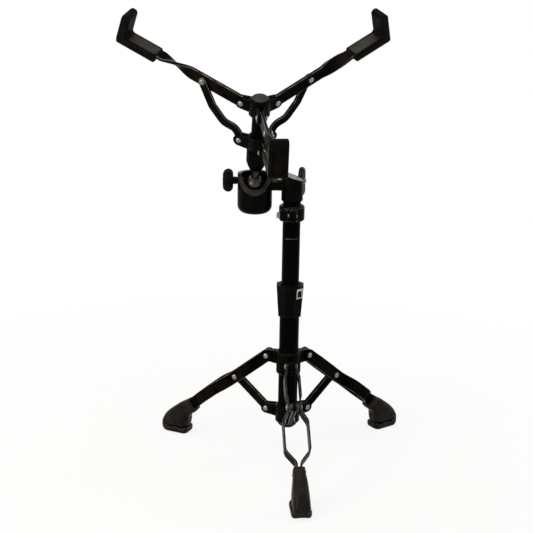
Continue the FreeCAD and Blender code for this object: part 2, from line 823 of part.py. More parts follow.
def foot(number):
    """A rubber boot on the bars' ends, with a round toe and a wide flat sole."""
    body = new_body(f"foot_{SIDES[number]}")
    sleeve = "foot_sleeve_width / 2"
    side = new_sketch(body, "XZ_Plane")
    draw(side, [
        (less("sole_back_setback"), "0"),
        (less("sole_front_setback"), "0", "foot_toe_radius", "left"),
        (less("foot_cap_setback"), "foot_cap_height"),
        on_leg("foot_sleeve_length - foot_top_straight", sleeve),
        on_leg("foot_sleeve_length", sleeve),
        on_leg("foot_sleeve_length", less(sleeve)),
        on_leg("foot_sleeve_length - foot_under_straight", less(sleeve)),
        (less("ankle_setback"), "ankle_height"),
        (less("heel_setback"), "heel_height")])
    pad(body, side, "sole_width")
    rims = [size(on_leg("foot_sleeve_length", across)[0]) for across in (sleeve, less(sleeve))]

    def is_corner(line):
        middle = line.CenterOfMass
        at_rim = min(abs(middle.x - rim) for rim in rims) < SAME_PLACE
        return runs_along(line, Y_AXIS) and middle.z > SAME_PLACE and not at_rim

    round_edges(body, "foot_edge_radius", is_corner)
    top = on_leg("foot_sleeve_length", sleeve)[1]
    above, outside = f"{top} + cut_overrun", "sole_width / 2 + cut_overrun"
    flanks = new_sketch(body, "YZ_Plane")
    for sign in ("1", "-1"):
        draw(flanks, [(f"{sign} * ({y})", z) for y, z in (
            ("foot_width / 2", "sole_band_height"), ("foot_sleeve_thickness / 2", top),
            ("foot_sleeve_thickness / 2", above), (outside, above), (outside, "sole_band_height"))])
    cut(body, flanks)
    front, back = less("toe_front_setback"), less("toe_front_setback + toe_corner_radius")
    inside = "sole_width / 2 - toe_corner_radius"
    corners = new_sketch(body)
    for sign, way in (("1", "right"), ("-1", "left")):
        draw(corners, [
            (back, f"{sign} * ({outside})"),
            (back, f"{sign} * sole_width / 2", "toe_corner_radius", way),
            (front, f"{sign} * ({inside})"),
            (f"{front} + cut_overrun", f"{sign} * ({inside})"),
            (f"{front} + cut_overrun", f"{sign} * ({outside})")])
    cut(body, corners)
    socket = new_sketch(body, "XZ_Plane")
    across = "bar_width / 2 + seat_gap"
    floor, mouth = "bar_tail - seat_gap", "foot_sleeve_length + cut_overrun"
    draw(socket, [
        on_leg(floor, across), on_leg(mouth, across),
        on_leg(mouth, less(across)), on_leg(floor, less(across))])
    cut(body, socket, "2 * (bar_foot_offset + bar_thickness / 2 + seat_gap)")
    put(body, leg_frame(number), shift(x=FLOOR_REACH))


# Upper tube, memory lock and tilter


def upper_tube():
    body = new_body("upper_tube")
    outer, top = "upper_tube_diameter / 2", f"{POST_BOTTOM} + post_socket_depth"
    inner, foot = f"{outer} - upper_tube_wall", f"{top} - upper_tube_length"
    spin(body, [(inner, foot), (outer, foot), (outer, top), (inner, top)])
    put(body)


def memory_lock():
    """A split ring with two lugs that its screw draws together."""
    body = new_body("memory_lock")
    lugs = new_sketch(body, "XZ_Plane")
    draw(lugs, [
        ("0", less("lock_lug_height / 2")), ("lock_lug_reach", less("lock_lug_height / 2")),
        ("lock_lug_reach", "lock_lug_height / 2"), ("0", "lock_lug_height / 2")])
    pad(body, lugs, "lock_lug_width")
    ring_with_bore(body, "lock_diameter", less("lock_height / 2"), "lock_height / 2",
                   "lock_chamfer", "upper_tube_diameter + 2 * sliding_gap")
    slit = new_sketch(body, "XZ_Plane")
    slot_outline(slit, "0", "lock_lug_reach + cut_overrun", "lock_height / 2 + cut_overrun")
    cut(body, slit, "lock_slit")
    drill(body, "lock_screw_diameter + 2 * seat_gap", "XZ_Plane",
          x="lock_lug_reach - lock_screw_head / 2")
    put(body, shift(z=LOCK_MIDDLE), turn_about(Z_AXIS, size("lock_turn_angle")))


def memory_lock_screw():
    """A screw with a square head for a drum key."""
    body = new_body("memory_lock_screw")
    end = "lock_lug_width / 2"
    spin(body, [
        ("0", less(end)), ("lock_screw_diameter / 2", less(end)),
        ("lock_screw_diameter / 2", f"{end} + seat_gap"), ("0", f"{end} + seat_gap")])
    head = new_sketch(body, offset=f"{end} + seat_gap")
    half = "lock_screw_head / 2"
    draw(head, [(less(half), less(half)), (half, less(half)), (half, half), (less(half), half)])
    pad(body, head, "lock_screw_head_height", both=False)
    put(body, shift(z=LOCK_MIDDLE), turn_about(Z_AXIS, size("lock_turn_angle")),
        shift(x="lock_lug_reach - lock_screw_head / 2"), turn_about(X_AXIS, QUARTER))


def tilter_post():
    """A round head on the upper tube, bored across for the cup's stem."""
    body = new_body("tilter_post")
    outer = "post_diameter / 2"
    spin(body, [
        ("0", "0"), (f"{outer} - post_chamfer", "0"), (outer, "post_chamfer"),
        (outer, "post_height"), ("0", "post_height")])
    top = new_sketch(body, "XZ_Plane")
    above = "post_height + cut_overrun"
    draw(top, [
        (less("post_diameter / 2"), "post_height"),
        ("post_diameter / 2", "post_height - post_top_fall"),
        ("post_diameter / 2 + cut_overrun", "post_height - post_top_fall"),
        ("post_diameter / 2 + cut_overrun", above), (less("post_diameter / 2"), above)])
    cut(body, top)
    level = "post_drop"
    boss(body, "neck_diameter", "post_boss_reach", "YZ_Plane", y=level, backward=True)
    aim = FreeCAD.Rotation(Y_AXIS, size("post_bolt_angle") - QUARTER)
    boss(body, "boss_diameter", "post_bolt_boss_reach", "XZ_Plane", y=level, backward=True, turn=aim)
    drill(body, "upper_tube_diameter + 2 * sliding_gap", offset="post_socket_depth + side_gap",
          length="post_height", both=False)
    drill(body, "stem_diameter + 2 * sliding_gap", "YZ_Plane", y=level,
          offset="stem_overreach + tip_gap", length="post_diameter + post_boss_reach", both=False)
    drill(body, BOLT_HOLE, "XZ_Plane", y=level, turn=aim, length="post_diameter", both=False)
    put(body, shift(z=POST_BOTTOM))


def tilter_wing_bolt():
    tip = "stem_diameter / 2 / sin(post_bolt_angle) + tip_gap + bolt_diameter / 2"
    body = wing_bolt("tilter_wing_bolt", f"post_bolt_boss_reach - ({tip})")
    put(body, shift(z="tilter_height"), turn_about(Z_AXIS, size("post_bolt_angle")),
        shift(x="post_bolt_boss_reach"), Z_TO_X)


def ball_cup():
    """A deep cup, cut off at a slant to the front, with the stem that it tilts on."""
    body = new_body("ball_cup")
    outer = "cup_diameter / 2"
    floor, foot_level = less("cup_floor_drop"), less("cup_depth")
    spin(body, [
        ("0", foot_level), (f"{outer} - cup_edge_radius", foot_level, "cup_edge_radius", "left"),
        (outer, "cup_edge_radius - cup_depth"), (outer, "cup_rise"), ("0", "cup_rise")])
    neck = "cup_reach - post_boss_reach - tip_gap"
    boss(body, "neck_diameter", neck, "YZ_Plane")
    boss(body, "stem_diameter", "cup_reach + stem_overreach", "YZ_Plane")
    drill(body, "cup_bore", offset=floor, length="cup_depth + cup_rise", both=False, backward=True)
    stud_hole = "stud_diameter + 2 * sliding_gap"
    drill(body, stud_hole, "YZ_Plane", y="knob_rise", length="cup_diameter", both=False)
    mouth = new_sketch(body, "YZ_Plane")
    ahead, above = less(f"{outer} + cut_overrun"), "cup_rise + cut_overrun"
    draw(mouth, [
        (less(outer), less("cup_lip_drop")), (less("cup_mouth_back"), "cup_rise"),
        (less("cup_mouth_back"), above), (ahead, above), (ahead, less("cup_lip_drop"))])
    cut(body, mouth, "cup_diameter")
    put(body, BALL_PLACE)


def ball_seat():
    """A plastic seat in the cup, hollowed to the ball."""
    body = new_body("ball_seat")
    hollow = "(ball_diameter / 2 + ball_gap)"
    rim = f"{hollow} * {SEAT_RIM_SHARE}"
    outer = "cup_bore / 2 - seat_gap"
    spin(body, [
        ("0", less("cup_floor_drop")), (outer, less("cup_floor_drop")), (outer, less(rim)),
        (f"sqrt({hollow} ^ 2 - ({rim}) ^ 2)", less(rim), hollow, "right"),
        ("0", less(hollow))])
    put(body, BALL_PLACE)


def ball_knob():
    """A fluted knob whose stud runs in to the ball."""
    body = new_body("ball_knob")
    tip, face = "ball_diameter / 2 + tip_gap", "cup_diameter / 2 + tip_gap"
    outer, back = "knob_diameter / 2", "knob_standoff + knob_thickness"
    spin(body, [
        ("0", tip), ("stud_diameter / 2", tip), ("stud_diameter / 2", face),
        ("stud_collar_diameter / 2", face), ("stud_collar_diameter / 2", "knob_standoff"),
        (f"{outer} - knob_edge_radius", "knob_standoff", "knob_edge_radius", "left"),
        (outer, "knob_standoff + knob_edge_radius"),
        (outer, f"{back} - knob_edge_radius", "knob_edge_radius", "left"),
        (f"{outer} - knob_edge_radius", back), ("0", back)])
    flute = drill(body, "knob_flute_diameter",
                  x=f"{outer} + knob_flute_diameter / 2 - knob_flute_depth",
                  offset="knob_standoff - cut_overrun", length="knob_thickness + 2 * cut_overrun",
                  both=False, backward=True)
    around(body, [flute], KNOB_FLUTES)
    put(body, KNOB_PLACE, turn_about(Y_AXIS, -QUARTER))


def basket_ball():
    body = new_body("basket_ball")
    ball, stem = "ball_diameter / 2", "ball_stem_diameter / 2"
    spin(body, [
        ("0", less(ball), ball, "left"), (ball, "0", ball, "left"),
        (stem, f"sqrt(({ball}) ^ 2 - ({stem}) ^ 2)"), (stem, "ball_stem_length"),
        ("0", "ball_stem_length")])
    put(body, BASKET)


# Basket


def basket_column():
    body = new_body("basket_column")
    inner, outer = "ball_stem_diameter / 2 + sliding_gap", "column_diameter / 2"
    top = "arm_pivot_height + basket_hub_height / 2"
    spin(body, [(inner, "column_bottom"), (outer, "column_bottom"), (outer, top), (inner, top)])
    put(body, BASKET)


def basket_hub():
    body = new_body("basket_hub")
    slot = "arm_thickness + 2 * side_gap"
    ear = new_sketch(body, "XZ_Plane")
    ear_outline(ear, "arm_pivot_radius", "basket_ear_radius", "basket_ear_root")
    ears = pad(body, ear, f"{slot} + 2 * basket_ear_thickness")
    gap = new_sketch(body, "XZ_Plane")
    slot_outline(gap, "basket_hub_diameter / 2",
                 "arm_pivot_radius + basket_ear_radius + cut_overrun", "basket_ear_root + cut_overrun")
    gaps = cut(body, gap, slot)
    holes = drill(body, "rivet_diameter + 2 * seat_gap", "XZ_Plane", x="arm_pivot_radius")
    around(body, [ears, gaps, holes])
    ring_with_bore(body, "basket_hub_diameter", less("basket_hub_height / 2"), "basket_hub_height / 2",
                   "basket_hub_chamfer", "column_diameter + 2 * seat_gap")
    put(body, basket_sector(0))


def hub_cap():
    body = new_body("hub_cap")
    outer = "column_diameter / 2 + basket_hub_chamfer / 2"
    spin(body, [
        ("0", "0"), (outer, "0"), (outer, "hub_cap_height - hub_cap_edge", "hub_cap_edge", "left"),
        (f"{outer} - hub_cap_edge", "hub_cap_height"), ("0", "hub_cap_height")])
    put(body, basket_sector(0), shift(z="basket_hub_height / 2"))


def basket_hub_rivets():
    members = []
    grip = "arm_thickness + 2 * side_gap + 2 * basket_ear_thickness + 2 * seat_gap"
    for number, side in enumerate(SIDES):
        body = rivet(f"basket_hub_rivet_{side}", grip)
        body.Placement = chain(basket_sector(number), shift(x="arm_pivot_radius"), Z_TO_Y)
        members.append(body)
    group("basket_hub_rivets", members)


def basket_slider():
    """A sleeve on the column, with a clevis beside each arm for its strut."""
    body = new_body("basket_slider")
    slot = "basket_strut_thickness + 2 * side_gap"
    ear = new_sketch(body, "XZ_Plane", offset=less(STRUT_SIDE))
    ear_outline(ear, "slider_pivot_radius", "slider_ear_radius", "slider_ear_root")
    ears = pad(body, ear, f"{slot} + 2 * slider_ear_thickness")
    gap = new_sketch(body, "XZ_Plane", offset=less(STRUT_SIDE))
    slot_outline(gap, "slider_diameter / 2",
                 "slider_pivot_radius + slider_ear_radius + cut_overrun", "slider_ear_root + cut_overrun")
    gaps = cut(body, gap, slot)
    holes = drill(body, "rivet_diameter + 2 * seat_gap", "XZ_Plane", x="slider_pivot_radius")
    around(body, [ears, gaps, holes])
    ring_with_bore(body, "slider_diameter", less("slider_height / 2"), "slider_height / 2",
                   "slider_chamfer", "column_diameter + 2 * sliding_gap")
    put(body, basket_sector(0), shift(z=less("slider_drop")))


def slider_rivets():
    """A short headed pin in each ear; the pins stop at the slot between the ears."""
    members = []
    head, length = "rivet_head_diameter / 2", "slider_ear_thickness"
    dome = f"(({head}) ^ 2 + rivet_head_height ^ 2) / (2 * rivet_head_height)"
    start = "basket_strut_thickness / 2 + side_gap"
    for number, side in enumerate(SIDES):
        for facing in (1, -1):
            body = new_body(f"slider_rivet_{side}_{len(members)}")
            spin(body, [
                ("0", start), ("rivet_diameter / 2", start),
                ("rivet_diameter / 2", f"{start} + {length} + seat_gap"),
                (head, f"{start} + {length} + seat_gap", dome, "left"),
                ("0", f"{start} + {length} + seat_gap + rivet_head_height")])
            body.Placement = chain(
                basket_sector(number), shift("slider_pivot_radius", STRUT_SIDE, less("slider_drop")),
                turn_about(X_AXIS, facing * QUARTER))
            members.append(body)
    group("slider_rivets", members)


def adjusting_nut():
    body = new_body("adjusting_nut")
    outer, bottom = "nut_diameter / 2", less("nut_height")
    inner = "column_diameter / 2 + sliding_gap"
    spin(body, [
        (inner, bottom), ("nut_foot_diameter / 2", bottom),
        (outer, "nut_taper_height - nut_height"), (outer, "0"), (inner, "0")])
    flute = drill(body, "nut_flute_diameter",
                  x=f"{outer} + nut_flute_diameter / 2 - nut_flute_depth",
                  offset="cut_overrun", length="nut_height + 2 * cut_overrun", both=False)
    around(body, [flute], NUT_FLUTES)
    put(body, basket_sector(0), shift(z="-slider_drop - slider_height / 2 - side_gap"))


def arm(number):
    """A flat bar on edge that twists a quarter turn to lie flat in its grip."""
    body = new_body(f"arm_{SIDES[number]}")
    half = "arm_width / 2"
    flat = new_sketch(body, "XZ_Plane")
    draw(flat, [
        ("0", less(half)), ("twist_start", less(half)), ("twist_start", half),
        ("0", half, half, "left"), (less(half), "0", half, "left")])
    pad(body, flat, "arm_thickness")
    sections = []
    for share in TWIST_SHARES:
        section = new_sketch(body, "YZ_Plane", f"twist_start + (twist_end - twist_start) * {share}",
                             FreeCAD.Rotation(Z_AXIS, -QUARTER * share))
        draw(section, [(f"{y} * arm_thickness / 2", f"{z} * arm_width / 2")
                       for y, z in ((-1, -1), (1, -1), (1, 1), (-1, 1))])
        sections.append(section)
    twist = body.newObject("PartDesign::AdditiveLoft", "twist")
    twist.Profile = sections[0]
    twist.Sections = sections[1:]
    tail = new_sketch(body, "YZ_Plane", "twist_end")
    draw(tail, [(f"{y} * arm_width / 2", f"{z} * arm_thickness / 2")
                for y, z in ((-1, -1), (1, -1), (1, 1), (-1, 1))])
    pad(body, tail, "arm_length - twist_end", both=False)
    drill(body, PIVOT_HOLE, "XZ_Plane")
    drill(body, "rivet_diameter + 2 * seat_gap", "XZ_Plane", x="arm_link_length")
    put(body, arm_frame(number))


def basket_strut(number):
    """A flat bar, bent in its own plane, with round ends."""
    body = new_body(f"basket_strut_{SIDES[number]}")
    half = "(basket_strut_width / 2)"
    line = [V(0, 0, 0)] + [V(along, -out, 0) for along, out in STRUT_BEND_SHARES] + [V(1, 0, 0)]
    ways = [(after - before).normalize() for before, after in zip(line, line[1:])]

    def near(here, aside):
        """A point beside one of the line's points, by shares of the half width."""
        return tuple(f"{line[here][axis]} * {STRUT_SPAN} + ({aside[axis]}) * {half}" for axis in (0, 1))

    sides = [V(-ways[0].y, ways[0].x, 0)]
    for before, after in zip(ways, ways[1:]):
        middle = (before + after).normalize()
        sides.append(V(-middle.y, middle.x, 0) / middle.dot(after))
    sides.append(V(-ways[-1].y, ways[-1].x, 0))
    last = len(line) - 1
    outline = [near(here, -sides[here]) for here in range(last)]
    outline += [near(last, -sides[last]) + (half, "left"), near(last, ways[-1]) + (half, "left")]
    outline += [near(here, sides[here]) for here in range(last, 0, -1)]
    outline += [near(0, sides[0]) + (half, "left"), near(0, -ways[0]) + (half, "left")]
    bar = new_sketch(body, "XZ_Plane")
    draw(bar, outline)
    pad(body, bar, "basket_strut_thickness")
    edge, span = size(half), size(STRUT_SPAN)

    def is_bend(corner):
        return runs_along(corner, Y_AXIS) and edge < corner.CenterOfMass.x < span - edge

    round_edges(body, "basket_strut_bend_radius", is_bend)
    holes = new_sketch(body, "XZ_Plane")
    draw_circle(holes, PIVOT_HOLE)
    draw_circle(holes, PIVOT_HOLE, x=STRUT_SPAN)
    cut(body, holes)
    aim = math.degrees(math.atan2(size(STRUT_RISE), size(STRUT_RUN)))
    put(body, basket_sector(number), shift("slider_pivot_radius", STRUT_SIDE, less("slider_drop")),
        turn_about(Y_AXIS, -aim))


def arm_rivet(number):
    """A rivet through the arm and the strut beside it."""
    body = rivet(f"arm_rivet_{SIDES[number]}",
                 "arm_thickness + side_gap + basket_strut_thickness + 2 * seat_gap")
    put(body, arm_frame(number),
        shift("arm_link_length", "(side_gap + basket_strut_thickness) / 2"), Z_TO_Y)


def grip(number):
    """A rubber hook on the arm's end: a flat base and an upright with a bevelled top."""
    body = new_body(f"grip_{SIDES[number]}")
    floor, top = less("grip_drop"), "grip_height - grip_drop"
    inside = "grip_reach - grip_wall"
    deck = "grip_base_thickness - grip_drop"
    side = new_sketch(body, "XZ_Plane")
    draw(side, [
        ("grip_start", floor), ("grip_reach", floor), ("grip_reach", f"{top} - grip_bevel"),
        ("grip_reach - grip_bevel", top), (f"{inside} + grip_bevel", top),
        (inside, f"{top} - grip_bevel"),
        (inside, f"{deck} + grip_inner_radius", "grip_inner_radius", "right"),
        (f"{inside} - grip_inner_radius", deck), ("grip_start", deck)])
    pad(body, side, "grip_width")
    edge = size("grip_width") / 2
    round_edges(body, "grip_edge_radius", lambda line: abs(line.CenterOfMass.y) > edge - SAME_PLACE)
    socket = new_sketch(body, "XZ_Plane")
    slot = "arm_thickness / 2 + seat_gap"
    mouth, end = "grip_start - cut_overrun", "arm_length + seat_gap"
    draw(socket, [(mouth, less(slot)), (end, less(slot)), (end, slot), (mouth, slot)])
    cut(body, socket, "arm_width + 2 * seat_gap")
    put(body, arm_frame(number))


def centre_on_origin():
    """Moves the whole stand so that its footprint is centred on the origin."""
    box = FreeCAD.BoundBox()
    for piece in pieces:
        box.add(piece.Shape.BoundBox)
    step = FreeCAD.Placement(V(-box.Center.x, -box.Center.y, 0), FreeCAD.Rotation())
    for piece in pieces:
        piece.Placement = step.multiply(piece.Placement)
    return step


lower_tube()
tube_end_plug()
tube_collar()
collar_bushing()
collar_plate()
height_wing_bolt()
lower_bracket()
bracket_rivets()
leg_hub()
hub_rivets()
hub_wing_bolt()
for leg, name in enumerate(SIDES):
    leg_bar(f"leg_bar_{name}_a", leg, 1)
    leg_bar(f"leg_bar_{name}_b", leg, -1)
    leg_rivet(leg)
    leg_spacers(leg)
    leg_strut(leg)
    foot(leg)
upper_tube()
memory_lock()
memory_lock_screw()
tilter_post()
tilter_wing_bolt()
ball_cup()
ball_seat()
ball_knob()
basket_ball()
basket_column()
basket_hub()
hub_cap()
basket_hub_rivets()
basket_slider()
slider_rivets()
adjusting_nut()
for side_number in range(len(SIDES)):
    arm(side_number)
    basket_strut(side_number)
    arm_rivet(side_number)
    grip(side_number)

doc.recompute()
STAND = centre_on_origin()
doc.recompute()

for thing in doc.Objects:
    if "Invalid" in thing.State or "Error" in thing.State:
        raise RuntimeError(f"{thing.Label} did not build: {thing.State}")
for piece in pieces:
    if piece.Shape.isNull() or not piece.Shape.isValid():
        raise RuntimeError(f"{piece.Label} has no sound shape")

os.makedirs("parts", exist_ok=True)
for piece in pieces:
    piece.Shape.exportStep(f"parts/{piece.Label}.step")
    print(piece.Label, len(piece.Shape.Solids), round(piece.Shape.Volume, 1))
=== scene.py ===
import json
import math

import bmesh
import bpy
from mathutils import Matrix, Vector


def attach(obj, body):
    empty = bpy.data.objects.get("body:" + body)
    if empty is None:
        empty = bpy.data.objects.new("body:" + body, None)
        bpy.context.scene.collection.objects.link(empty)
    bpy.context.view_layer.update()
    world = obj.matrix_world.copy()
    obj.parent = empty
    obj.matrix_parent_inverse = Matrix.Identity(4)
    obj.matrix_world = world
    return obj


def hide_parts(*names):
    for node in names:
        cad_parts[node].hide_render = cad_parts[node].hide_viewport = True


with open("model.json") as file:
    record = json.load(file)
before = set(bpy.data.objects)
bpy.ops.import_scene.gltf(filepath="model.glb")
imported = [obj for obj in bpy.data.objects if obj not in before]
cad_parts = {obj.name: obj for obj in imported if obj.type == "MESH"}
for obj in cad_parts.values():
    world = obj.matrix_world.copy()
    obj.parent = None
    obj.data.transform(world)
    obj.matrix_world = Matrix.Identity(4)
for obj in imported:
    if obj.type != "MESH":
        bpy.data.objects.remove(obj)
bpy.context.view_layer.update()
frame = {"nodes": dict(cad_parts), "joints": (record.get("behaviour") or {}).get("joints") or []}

# Lower tube: steel tube in gloss black enamel. The bracket is pressed on at its
# foot, the leg hub slides on it, and the height collar is pressed on at its top.
LOWER_TUBE_FOOT = 0.050
LOWER_TUBE_TOP = 0.2566
LOWER_TUBE_RADIUS = 0.0143
LOWER_TUBE_BORE = 0.0128
FINE_EDGE = 0.0003
FLUTE_CURVE = 1.5
joints = {joint["name"]: joint for joint in frame["joints"]}


def pivot(name):
    """The place of a joint in the stand."""
    return Vector(joints[name]["pos_m"])


def closed(shell, name):
    """A plain mesh of a shell, its faces pointing outwards."""
    bmesh.ops.recalc_face_normals(shell, faces=shell.faces)
    mesh = bpy.data.meshes.new(name)
    shell.to_mesh(mesh)
    shell.free()
    return mesh


def turned(outline, sides=96, flutes=0, flute_depth=0.0):
    """A shell turned about Z from a closed outline of (radius, height), fluted on request."""
    shell = bmesh.new()
    rings = []
    for radius, height in outline:
        if radius == 0:
            rings.append([shell.verts.new((0, 0, height))])
            continue
        ring = []
        for step in range(sides):
            turn = math.tau * step / sides
            flute = flute_depth * radius * max(0.0, math.cos(flutes * turn)) ** FLUTE_CURVE
            reach = radius - flute
            ring.append(shell.verts.new((reach * math.cos(turn), reach * math.sin(turn), height)))
        rings.append(ring)
    for low, high in zip(rings, rings[1:] + rings[:1]):
        for step in range(sides):
            corners = []
            for ring, place in ((low, step), (low, step + 1), (high, step + 1), (high, step)):
                corner = ring[place % len(ring)]
                if corner not in corners:
                    corners.append(corner)
            if len(corners) > 2:
                shell.faces.new(corners)
    return closed(shell, "turned")


def tube_outline(bore, radius, foot, top):
    """The outline of a plain tube, for turning."""
    return [(bore, foot), (radius, foot), (radius, top), (bore, top)]


def carried(mesh):
    """A bare object that carries a mesh while modifiers work on it."""
    carrier = bpy.data.objects.new("carrier", mesh)
    bpy.context.scene.collection.objects.link(carrier)
    return carrier


def taken_off(carrier):
    """The plain mesh that a carrier's modifiers make of its own, without the carrier."""
    mesh = carrier.data
    seen = carrier.evaluated_get(bpy.context.evaluated_depsgraph_get())
    done = bpy.data.meshes.new_from_object(seen)
    carrier.modifiers.clear()
    bpy.data.objects.remove(carrier)
    bpy.data.meshes.remove(mesh)
    return done


def eased(mesh, width, place, sharp=35):
    """The mesh in its place, sharp edges rounded in the second finish and flats shaded flat."""
    mesh.shade_smooth()
    while len(mesh.materials) < 2:
        mesh.materials.append(None)
    carrier = carried(mesh)
    if width:
        rounding = carrier.modifiers.new("rounding", "BEVEL")
        rounding.width = width
        rounding.segments = 3
        rounding.limit_method = "ANGLE"
        rounding.angle_limit = math.radians(sharp)
        rounding.material = 1
    flats = carrier.modifiers.new("flats", "WEIGHTED_NORMAL")
    flats.keep_sharp = False
    done = taken_off(carrier)
    done.transform(place)
    return done


def fill(tree, node, inputs):
    """Sets a node's inputs, or links them where a socket is given."""
    for name, value in inputs.items():
        for source in value if isinstance(value, list) else [value]:
            if isinstance(source, bpy.types.NodeSocket):
                tree.links.new(source, node.inputs[name])
            else:
                node.inputs[name].default_value = source


def add(tree, kind, inputs=None, **settings):
    """The outputs of a new node, after its settings are made and its inputs filled."""
    node = tree.nodes.new(kind)
    for name, value in settings.items():
        setattr(node, name, value)
    fill(tree, node, inputs or {})
    return node.outputs


def coat(name, tones, gloss, grain, metal=0.0, specular=0.5, patches=45.0):
    """A finish whose tone and gloss drift in soft patches over a fine grain in relief."""
    material = bpy.data.materials.new(name)
    material.use_nodes = True
    tree = material.node_tree
    spot = add(tree, "ShaderNodeTexCoord")["Object"]
    clouds = add(tree, "ShaderNodeTexNoise", {
        "Vector": spot, "Scale": patches, "Detail": 6, "Roughness": 0.6})["Fac"]
    spread = add(tree, "ShaderNodeMapRange", {
        "Value": clouds, "From Min": 0.35, "From Max": 0.7})["Result"]
    tone = add(tree, "ShaderNodeMix", {
        "Factor": spread, "A": (*tones[0], 1), "B": (*tones[1], 1)}, data_type="RGBA")["Result"]
    polish = add(tree, "ShaderNodeMapRange", {
        "Value": clouds, "From Min": 0.3, "From Max": 0.7,
        "To Min": gloss[0], "To Max": gloss[1]})["Result"]
    scale, strength, depth = grain
    pores = add(tree, "ShaderNodeTexNoise", {"Vector": spot, "Scale": scale, "Detail": 3})["Fac"]
    relief = add(tree, "ShaderNodeBump", {
        "Height": pores, "Strength": strength, "Distance": depth})["Normal"]
    fill(tree, tree.nodes["Principled BSDF"], {
        "Metallic": metal, "Specular IOR Level": specular,
        "Base Color": tone, "Roughness": polish, "Normal": relief})
    return material


def fasten(name, mesh, finishes, slot, body, *nodes):
    """Makes a piece of a finished mesh, on its body, in the place of the nodes it stands for."""
    marks = [min(face.material_index, len(finishes) - 1) for face in mesh.polygons]
    mesh.materials.clear()
    for finish in finishes:
        mesh.materials.append(finish)
    mesh.polygons.foreach_set("material_index", marks)
    piece = bpy.data.objects.new(name, mesh)
    bpy.context.scene.collection.objects.link(piece)
    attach(piece, body)
    if nodes:
        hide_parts(*nodes)


TUBE_AXIS = Matrix.Translation((pivot("lock_turn").x, pivot("lock_turn").y, 0))
tube_enamel = coat("tube_enamel", ((0.0004, 0.0004, 0.0003), (0.0016, 0.0014, 0.0011)),
                   (0.14, 0.24), (900, 0.04, 0.0002), specular=0.012, patches=30)
lower_tube = turned(tube_outline(
    LOWER_TUBE_BORE, LOWER_TUBE_RADIUS, LOWER_TUBE_FOOT, LOWER_TUBE_TOP))
fasten("lower_tube_steel", eased(lower_tube, FINE_EDGE, TUBE_AXIS), [tube_enamel],
       "black_tube", "base", "lower_tube")

# Tube end plug: moulded black plastic, pushed into the tube's foot. Its rim is
# as wide as the tube and tapers to a blunt tip.
PLUG_FOOT = 0.0455
PLUG_TIP_RADIUS = 0.0095
PLUG_RADIUS = LOWER_TUBE_BORE - 0.0001
PLUG_TOP = LOWER_TUBE_FOOT + 0.008
PLUG_EDGE = 0.0008
moulded_plastic = coat("moulded_plastic", ((0.0010, 0.0010, 0.0008), (0.0034, 0.0030, 0.0024)),
                       (0.36, 0.52), (1400, 0.10, 0.0003), specular=0.03)
plug_outline = [
    (0, PLUG_FOOT), (PLUG_TIP_RADIUS, PLUG_FOOT), (LOWER_TUBE_RADIUS, LOWER_TUBE_FOOT),
    (PLUG_RADIUS, LOWER_TUBE_FOOT), (PLUG_RADIUS, PLUG_TOP), (0, PLUG_TOP)]
fasten("tube_end_plug_moulding", eased(turned(plug_outline), PLUG_EDGE, TUBE_AXIS),
       [moulded_plastic], "black_plastic", "base", "tube_end_plug")

# Castings: the leg bracket and hub, the height collar, the memory lock, the tilter's
# post and cup, and the basket's hub and slider are die cast in satin black. Their eased
# edges are painted paler and metallic as a painted highlight, and the post's top and
# the cup's rim are painted paler as painted light from above.
# Solid, body and eased edge of each casting
CASTINGS = (
    ("lower_bracket", "base", 0.0008), ("leg_hub", "leg_hub", 0.0010),
    ("tube_collar", "base", 0.0010), ("memory_lock", "memory_lock", 0.0009),
    ("tilter_post", "tilter_post", 0.0008), ("ball_cup", "cup", 0.0010),
    ("basket_hub", "column", 0.0009), ("basket_slider", "slider", 0.0007))
# Finish, lowest height and least upward slope of the faces painted with light from above
TOP_LIT_FACES = {"tilter_post": (2, 0.420, 0.80), "ball_cup": (3, 0.400, 0.50)}
IN_PLACE = Matrix.Identity(4)
casting_enamel = coat("casting_enamel", ((0.0008, 0.0008, 0.0006), (0.0032, 0.0028, 0.0020)),
                      (0.20, 0.34), (700, 0.12, 0.0004), specular=0.02, patches=60)
# Paler, metallic finish of the castings' eased edges: a painted highlight.
casting_edge_highlight = coat("casting_edge_highlight", ((0.010, 0.0095, 0.008), (0.16, 0.15, 0.13)),
                    (0.24, 0.40), (700, 0.12, 0.0004), metal=0.8, patches=70)
# Pale finish of the post's upward top faces: painted light from above.
top_light_face = coat("top_light_face", ((0.06, 0.057, 0.050), (0.34, 0.32, 0.28)),
                   (0.34, 0.52), (1300, 0.20, 0.0003), specular=0.5, patches=130)
# Slightly paler finish of the cup rim's upward faces: painted light from above.
rim_top_light = coat("rim_top_light", ((0.004, 0.004, 0.003), (0.030, 0.027, 0.021)),
                  (0.20, 0.34), (900, 0.10, 0.0003), specular=0.10, patches=70)


def cast(node, edge):
    """A casting: the solid's own form, with its edges eased as the die leaves them."""
    mesh = frame["nodes"][node].data.copy()
    form = bmesh.new()
    form.from_mesh(mesh)
    bmesh.ops.remove_doubles(form, verts=form.verts, dist=1e-6)
    bmesh.ops.dissolve_limit(form, angle_limit=math.radians(1), verts=form.verts, edges=form.edges)
    form.to_mesh(mesh)
    form.free()
    return eased(mesh, edge, IN_PLACE)


for node, body, edge in CASTINGS:
    mesh = cast(node, edge)
    mark, lowest, flattest = TOP_LIT_FACES.get(node, (0, 1.0, 1.0))
    # Faces that point upwards get the painted light from above.
    for face in mesh.polygons:
        if face.center.z > lowest and face.normal.z > flattest and face.material_index == 0:
            face.material_index = mark
    fasten(f"{node}_casting", mesh, [casting_enamel, casting_edge_highlight, top_light_face, rim_top_light],
           "black_casting", body, node)

